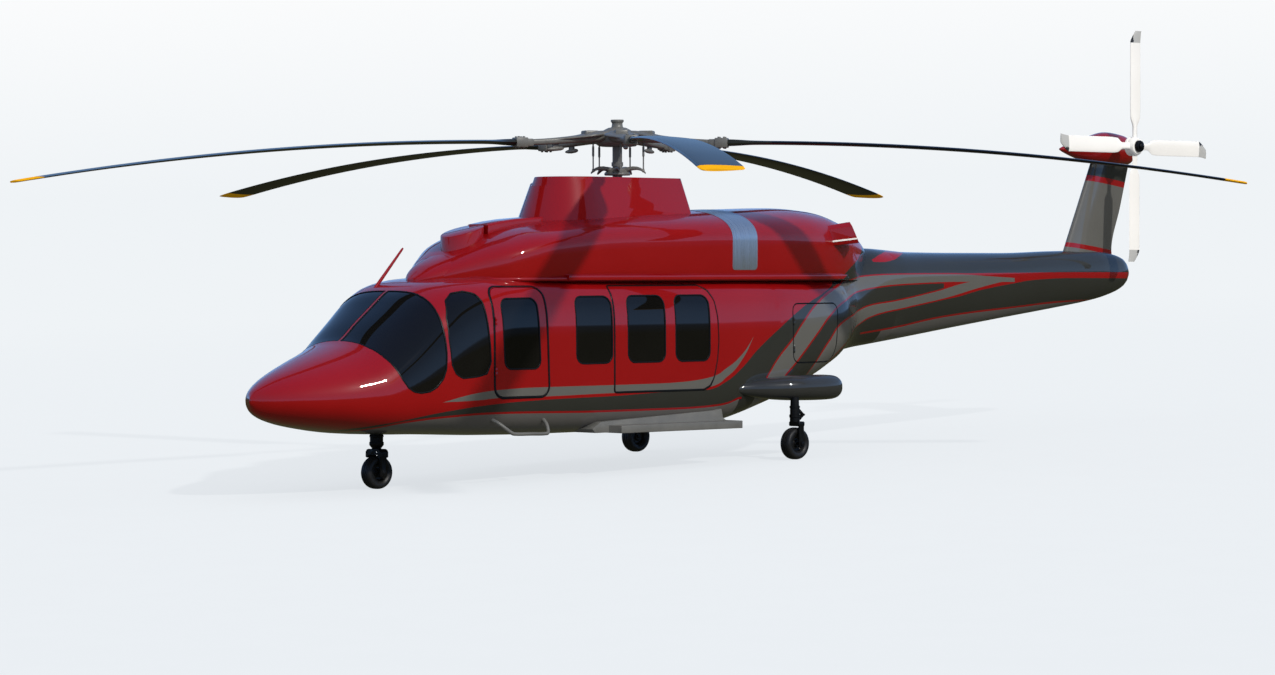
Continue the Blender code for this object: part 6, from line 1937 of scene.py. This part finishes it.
class HELICOPTER_OT_main_gear(bpy.types.Operator):
    """Main legs: strut with collars, crosspiece, leg outboard of the wheel and torque link"""
    bl_idname = "helicopter.main_gear"
    bl_label = "Main gear"

    def execute(self, context):
        black = plain_finish("gear_black")
        y = MAIN_AXLE.y
        z = MAIN_AXLE.z
        for side, sign in SIDES:
            x = MAIN_AXLE.x * sign
            leg = turned("main_leg_strut_" + side,
                         ((0.455, 0.0), (0.455, 0.058), (0.500, 0.066), (0.560, 0.066), (0.566, 0.074), (0.600, 0.074),
                          (0.606, 0.064), (0.690, 0.064), (0.694, 0.071), (0.716, 0.071), (0.722, 0.060),
                          (0.84, 0.057), (0.84, 0.0)), 48, Matrix.Translation((x, y, 0)))
            out = x + sign * 0.118
            low, high = sorted((x - sign * 0.062, out + sign * 0.020))
            weld(leg, block("crown", (low, y - 0.058, 0.447), (high, y + 0.058, 0.512), 0.018, 3))
            low, high = sorted((out - sign * 0.018, out + sign * 0.018))
            weld(leg, block("arm", (low, y - 0.046, z - 0.052), (high, y + 0.046, 0.50), 0.014, 3))
            weld(leg, rod("axle", (x - sign * 0.066, y, z), (out + sign * 0.030, y, z), AXLE_RADIUS, bevel=0.003))
            weld(leg, rod("nut", (out + sign * 0.016, y, z), (out + sign * 0.036, y, z), 0.030, sides=6,
                          bevel=0.003))
            for start, end in (((y + 0.035, 0.690), (y + 0.150, 0.598)), ((y + 0.150, 0.598), (y + 0.035, 0.505))):
                run = Vector((0.0, end[0] - start[0], end[1] - start[1])).normalized()
                over = Vector((0.0, -run.z, run.y)) * 0.014
                a = Vector((x, *start)) - run * 0.012
                b = Vector((x, *end)) + run * 0.012
                outline = [(p.y, p.z) for p in (a + over, a - over, b - over * 0.8, b + over * 0.8)]
                weld(leg, prism("link", outline, lambda u, v: (x - 0.026, u, v), (0.052, 0.0, 0.0)))
            weld(leg, rod("link pin", (x - 0.036, y + 0.150, 0.598), (x + 0.036, y + 0.150, 0.598), 0.015, sides=24,
                          bevel=0.003))
            carve(leg, bpy.data.objects["guide sponson " + side], keep=True)
            chamfer(leg, 0.003)
            settle(soften(leg, 34), black, "airframe", "black_gear", "main_leg_" + side)
        return {"FINISHED"}


# ---------------------------------------------------------------- cabin

def squircle_ring(half_x, half_y, z, sides=48):
    """A level ring with well rounded corners."""
    return [Vector((half_x * a, half_y * b, z)) for a, b in circle(sides, 0.42)]


def cushion(name, half_x, half_y, low, high, crown, stitches):
    """A soft pad: plump rings from its underside to a domed top, with pressed seams across it."""
    height = high - low
    rings = []
    for share, inset in ((0.0, 0.030), (0.10, 0.010), (0.25, 0.002), (0.5, 0.0), (0.72, 0.003), (0.88, 0.014),
                         (0.97, 0.034), (1.0, 0.060)):
        rings.append(squircle_ring(half_x - inset, half_y - inset, low + height * share))
    for share in (0.80, 0.60, 0.40, 0.20, 0.06):
        rings.append(squircle_ring((half_x - 0.060) * share, (half_y - 0.060) * share, high))
    pad = wrapped(name, rings)
    for vertex in pad.data.vertices:
        if vertex.co.z > high - 0.001:
            away = max(abs(vertex.co.x) / half_x, abs(vertex.co.y) / half_y)
            dome = crown * (1 - away**2)
            press = sum(math.exp(-((vertex.co.x - x) / 0.012) ** 2) for x in stitches)
            vertex.co.z += dome - 0.010 * min(press, 1.0) * (1 - away**4)
    pick(pad)
    finer = pad.modifiers.new("finer", "SUBSURF")
    finer.levels = 2
    finer.render_levels = 2
    bpy.ops.object.modifier_apply(modifier=finer.name)
    return all_smooth(pad)


def piping(name, half_x, half_y, z, radius=0.005):
    """A thin cord round the edge of a pad."""
    path = even_steps(squircle_ring(half_x, half_y, z, 96), 0.02)
    return all_smooth(swept(name, path, 8, [Vector((0, 0, 1))] * len(path), radius, radius, radius))


class HELICOPTER_OT_seats(bpy.types.Operator):
    """Pilots' seats and the cabin bench, padded, on pedestals"""
    bl_idname = "helicopter.seats"
    bl_label = "Seats"

    def execute(self, context):
        leather = seat_leather_grain()
        metal = plain_finish("seat_frame")
        for name, x, y, width, bays in (("pilot_seat_left", 0.52, -3.35, 0.50, 1),
                                        ("pilot_seat_right", -0.52, -3.35, 0.50, 1),
                                        ("cabin_seat_row", 0.0, 1.15, 1.70, 3)):
            half = width / 2
            stitches = [half * (2 * k / bays - 1) for k in range(1, bays)]
            seams = stitches or [-half * 0.48, half * 0.48]
            stand = block(name + "_stand", (x - 0.35 * width, y - 0.17, FLOOR_TOP),
                          (x + 0.35 * width, y + 0.17, 1.215), 0.012)
            weld(stand, block("pan", (x - half + 0.02, y - 0.235, 1.205), (x + half - 0.02, y + 0.235, 1.235), 0.008))
            shell = block("shell", (-half + 0.03, -0.055, -0.09), (half - 0.03, -0.033, 0.655), 0.006)
            lean = Matrix.Translation((x, y + 0.285, 1.30)) @ Matrix.Rotation(math.radians(-10), 4, "X")
            shell.data.transform(lean @ Matrix.Translation((0, 0.085, 0)))
            weld(stand, shell)
            settle(soften(stand), metal, "airframe", "interior_grey")
            at_seat = Matrix.Translation((x, y, 0.0))
            at_back = lean @ Matrix.Translation((0, -0.005, 0.285)) @ Matrix.Rotation(math.radians(90), 4, "X")
            for obj, spot in ((cushion(name + "_pad", half, 0.25, 1.232, 1.352, 0.018, seams), at_seat),
                              (cushion(name + "_back", half, 0.365, -0.052, 0.052, 0.014, seams), at_back)):
                obj.data.transform(spot)
                settle(obj, leather, "airframe", "seat_leather")
            for obj, spot in ((piping(name + "_cord_1", half - 0.004, 0.246, 1.318), at_seat),
                              (piping(name + "_cord_2", half - 0.004, 0.361, 0.030), at_back)):
                obj.data.transform(spot)
                settle(obj, metal, "airframe", "seat_leather")
            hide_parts(name)
        return {"FINISHED"}


class HELICOPTER_OT_cabin_finishes(bpy.types.Operator):
    """Finishes of the floor, instrument panel and engine, which keep their plain solids"""
    bl_idname = "helicopter.cabin_finishes"
    bl_label = "Cabin finishes"

    def execute(self, context):
        for node, finish in (("cabin_floor", "cabin_lining"), ("instrument_panel", "instrument_black"),
                             ("engine_and_gearbox", "engine_metal")):
            for slot in frame["nodes"][node].material_slots:
                slot.material = plain_finish(finish)
        return {"FINISHED"}


# ---------------------------------------------------------------- stage

CAMERA_SPOT = (35.8608, -34.1138, 2.5296)
CAMERA_YAW = 2.3758
CAMERA_PITCH = -0.0179
CAMERA_ROLL = -0.0021
CAMERA_LENS = 104.456
SUN_WAY = (0.8146, -0.0856, 0.5736)
FLOOR_RADIUS = 180.0
FADE_NEAR = 24.0
FADE_FAR = 110.0


class StageLook(bpy.types.PropertyGroup):
    """Light, backdrop and floor of the picture."""
    sun_strength: amount("Sun", "Strength of the sun", 2.3, 20.0)
    sun_size: FloatProperty(name="Sun size", description="How soft the sun's shadows are", default=math.radians(2.5),
                            min=0.0, max=1.0, subtype="ANGLE", unit="ROTATION")
    sun_tint: colour("Sun tint", "Colour of the sun", (1.0, 0.95, 0.88))
    fill_light: amount("Fill", "Soft light from above", 0.75, 5.0)
    floor_light: amount("Floor fill", "Soft light from the floor", 0.25, 5.0)
    near_tint: colour("Near floor", "The pale floor in front of the machine", (0.807, 0.847, 0.888))
    far_tint: colour("Far floor", "The pale floor and backdrop at the horizon", (0.863, 0.896, 0.922))
    top_tint: colour("Backdrop top", "The backdrop above", (1.0, 1.0, 1.0))
    ground_tint: colour("Ground", "What the machine mirrors from below", (0.058, 0.058, 0.031))
    hill_tint: colour("Hills", "What the machine mirrors just above the horizon", (0.07, 0.10, 0.15))
    horizon_tint: colour("Horizon", "What the machine mirrors at the horizon", (0.30, 0.55, 1.0))
    sky_tint: colour("Sky", "What the machine mirrors half way up the sky", (0.09, 0.19, 0.42))
    zenith_tint: colour("Zenith", "What the machine mirrors overhead", (0.06, 0.14, 0.38))


class HELICOPTER_OT_stage(bpy.types.Operator):
    """Pale floor, sky and sun, and the camera at the picture's angle"""
    bl_idname = "helicopter.stage"
    bl_label = "Stage"

    def execute(self, context):
        look = context.scene.helicopter_stage
        self.add_sky(context.scene, look)
        floor = self.add_floor(look)
        deselect()
        bpy.ops.object.light_add(type="SUN")
        sun = context.object
        sun.name = "sun"
        way = LEVEL.to_3x3() @ Vector(SUN_WAY)
        sun.rotation_euler = way.to_track_quat("Z", "Y").to_euler()
        sun.data.energy = look.sun_strength
        sun.data.angle = look.sun_size
        sun.data.color = look.sun_tint
        camera = self.add_camera(context.scene)
        context.scene.view_settings.view_transform = "Standard"
        return {"FINISHED"}

    def add_camera(self, scene):
        """The camera at the picture's place and lens, rolled a little."""
        deselect()
        bpy.ops.object.camera_add()
        camera = bpy.context.object
        camera.name = "camera"
        ahead = Vector((math.cos(CAMERA_PITCH) * math.cos(CAMERA_YAW), math.cos(CAMERA_PITCH) * math.sin(CAMERA_YAW),
                        math.sin(CAMERA_PITCH)))
        right = ahead.cross(Vector((0, 0, 1))).normalized()
        up = right.cross(ahead)
        turn_right = right * math.cos(CAMERA_ROLL) + up * math.sin(CAMERA_ROLL)
        turn_up = up * math.cos(CAMERA_ROLL) - right * math.sin(CAMERA_ROLL)
        frame_turn = Matrix((turn_right, turn_up, -ahead)).transposed().to_4x4()
        camera.matrix_world = LEVEL @ Matrix.Translation(CAMERA_SPOT) @ frame_turn
        camera.data.lens = CAMERA_LENS
        camera.data.sensor_width = 36.0
        camera.data.sensor_fit = "HORIZONTAL"
        camera.data.clip_end = 400.0
        scene.camera = camera
        return camera

    def by_ray(self, tree, mirrored, soft, seen):
        """One shader for mirror rays, one for soft light and one for the camera."""
        rays = tree.nodes.new("ShaderNodeLightPath")
        shader = mirrored
        for share, other in ((rays.outputs["Is Diffuse Ray"], soft),
                             (reckon(tree, "MAXIMUM", rays.outputs["Is Camera Ray"],
                                     rays.outputs["Is Transmission Ray"]), seen)):
            shader = mixed(tree, share, shader, other)
        return shader

    def gradient(self, tree, value, stops):
        """Colours along a value from 0 to 1."""
        ramp = tree.nodes.new("ShaderNodeValToRGB")
        elements = ramp.color_ramp.elements
        for element, (position, tint) in zip(elements, (stops[0], stops[-1])):
            element.position = position
            element.color = (*tint, 1)
        for position, tint in stops[1:-1]:
            elements.new(position).color = (*tint, 1)
        tree.links.new(value, ramp.inputs[0])
        return ramp.outputs[0]

    def add_sky(self, scene, look):
        """Pale backdrop to the camera, a blue sky to mirror rays and even light to the rest."""
        world = bpy.data.worlds.new("studio")
        scene.world = world
        world.use_nodes = True
        tree = world.node_tree
        tree.nodes.clear()
        way = put(tree, "SeparateXYZ", None, Vector=tree.nodes.new("ShaderNodeTexCoord").outputs["Generated"])
        height = spread(tree, way.outputs[2], -1.0, 1.0)
        low_sky = [(a + 2 * b) / 3 for a, b in zip(look.horizon_tint, look.sky_tint)]
        sky = self.gradient(tree, height, (
            (0.0, look.ground_tint), (0.498, look.ground_tint), (0.502, look.hill_tint), (0.511, look.hill_tint),
            (0.514, look.horizon_tint), (0.66, low_sky), (0.88, look.sky_tint), (1.0, look.zenith_tint)))
        mirrored = put(tree, "Background", None, Color=sky)
        soft = put(tree, "Background", None, Color=(1.0, 1.0, 1.0), Strength=look.fill_light)
        backdrop = self.gradient(tree, spread(tree, way.outputs[2], 0.0, 0.075),
                                 ((0.0, look.far_tint), (1.0, look.top_tint)))
        seen = put(tree, "Background", None, Color=backdrop)
        out = tree.nodes.new("ShaderNodeOutputWorld")
        tree.links.new(self.by_ray(tree, mirrored, soft, seen).outputs[0], out.inputs[0])

    def add_floor(self, look):
        """A pale disc that fades into the backdrop, takes faint shadows and mirrors dark."""
        deselect()
        height = min(spot.z for spot in (LEVEL @ NOSE_CONTACT, LEVEL @ MAIN_CONTACT))
        bpy.ops.mesh.primitive_circle_add(vertices=96, radius=FLOOR_RADIUS, fill_type="NGON", location=(0, 0, height))
        floor = bpy.context.object
        floor.name = "floor"
        material = bpy.data.materials.new("floor")
        material.use_nodes = True
        tree = material.node_tree
        tree.nodes.clear()
        spot = tree.nodes.new("ShaderNodeTexCoord").outputs["Object"]
        away = put(tree, "VectorMath", {"operation": "DISTANCE"}, Vector=spot)
        away.inputs[1].default_value = (CAMERA_SPOT[0], CAMERA_SPOT[1], 0.0)
        fade = spread(tree, away.outputs["Value"], FADE_NEAR, FADE_FAR)
        grain = put(tree, "TexNoise", None, Vector=spot, Scale=1.5, Detail=2.0)
        tint = blended(tree, spread(tree, grain.outputs[0], *NOISE_RANGE), (0.78, 0.81, 0.84), (0.80, 0.83, 0.86))
        lit = put(tree, "BsdfDiffuse", None, Color=tint)
        glow = put(tree, "Emission", None, Color=blended(tree, fade, look.near_tint, look.far_tint), Strength=1.0)
        seen = mixed(tree, spread(tree, fade, 0.2, 0.8, 0.80, 1.0), lit, glow)
        mirrored = put(tree, "Emission", None, Color=look.ground_tint, Strength=1.0)
        soft = put(tree, "Emission", None, Color=(1.0, 1.0, 1.0), Strength=look.floor_light)
        out = tree.nodes.new("ShaderNodeOutputMaterial")
        tree.links.new(self.by_ray(tree, mirrored, soft, seen).outputs[0], out.inputs[0])
        floor.data.materials.append(material)
        return floor


class HELICOPTER_OT_clear_guides(bpy.types.Operator):
    """Remove the forms that pieces were cut from"""
    bl_idname = "helicopter.clear_guides"
    bl_label = "Clear guides"

    def execute(self, context):
        discard(*[obj for obj in bpy.data.objects if obj.name.startswith("guide ")])
        return {"FINISHED"}


# ---------------------------------------------------------------- panel and registration

ORDER = (HELICOPTER_OT_body, HELICOPTER_OT_doors, HELICOPTER_OT_seals, HELICOPTER_OT_windows, HELICOPTER_OT_cowling,
         HELICOPTER_OT_mast_fairing, HELICOPTER_OT_rotor_head, HELICOPTER_OT_main_blades, HELICOPTER_OT_tail_rotor,
         HELICOPTER_OT_tail, HELICOPTER_OT_sponsons, HELICOPTER_OT_steps, HELICOPTER_OT_wheels,
         HELICOPTER_OT_nose_gear, HELICOPTER_OT_main_gear, HELICOPTER_OT_seats, HELICOPTER_OT_cabin_finishes,
         HELICOPTER_OT_clear_guides, HELICOPTER_OT_stage)
GROUPS = (("helicopter_paint", PaintColours), ("helicopter_trim", TrimSizes), ("helicopter_detail", FormDetail),
          ("helicopter_stage", StageLook))


class HELICOPTER_PT_pieces(bpy.types.Panel):
    """Pieces and settings of the helicopter"""
    bl_idname = "HELICOPTER_PT_pieces"
    bl_label = "Helicopter"
    bl_space_type = "VIEW_3D"
    bl_region_type = "UI"
    bl_category = "Helicopter"

    def draw(self, context):
        layout = self.layout
        for operator in ORDER:
            layout.operator(operator.bl_idname)
        for name, group in GROUPS:
            layout.label(text=group.__doc__)
            for prop in group.__annotations__:
                layout.prop(getattr(context.scene, name), prop)


def register():
    for name, group in GROUPS:
        bpy.utils.register_class(group)
        setattr(bpy.types.Scene, name, PointerProperty(type=group))
    for operator in ORDER:
        bpy.utils.register_class(operator)
    bpy.utils.register_class(HELICOPTER_PT_pieces)


def unregister():
    bpy.utils.unregister_class(HELICOPTER_PT_pieces)
    for operator in reversed(ORDER):
        bpy.utils.unregister_class(operator)
    for name, group in reversed(GROUPS):
        delattr(bpy.types.Scene, name)
        bpy.utils.unregister_class(group)


def main():
    register()
    for operator in ORDER:
        group, name = operator.bl_idname.split(".")
        getattr(getattr(bpy.ops, group), name)()


if __name__ == "__main__":
    main()
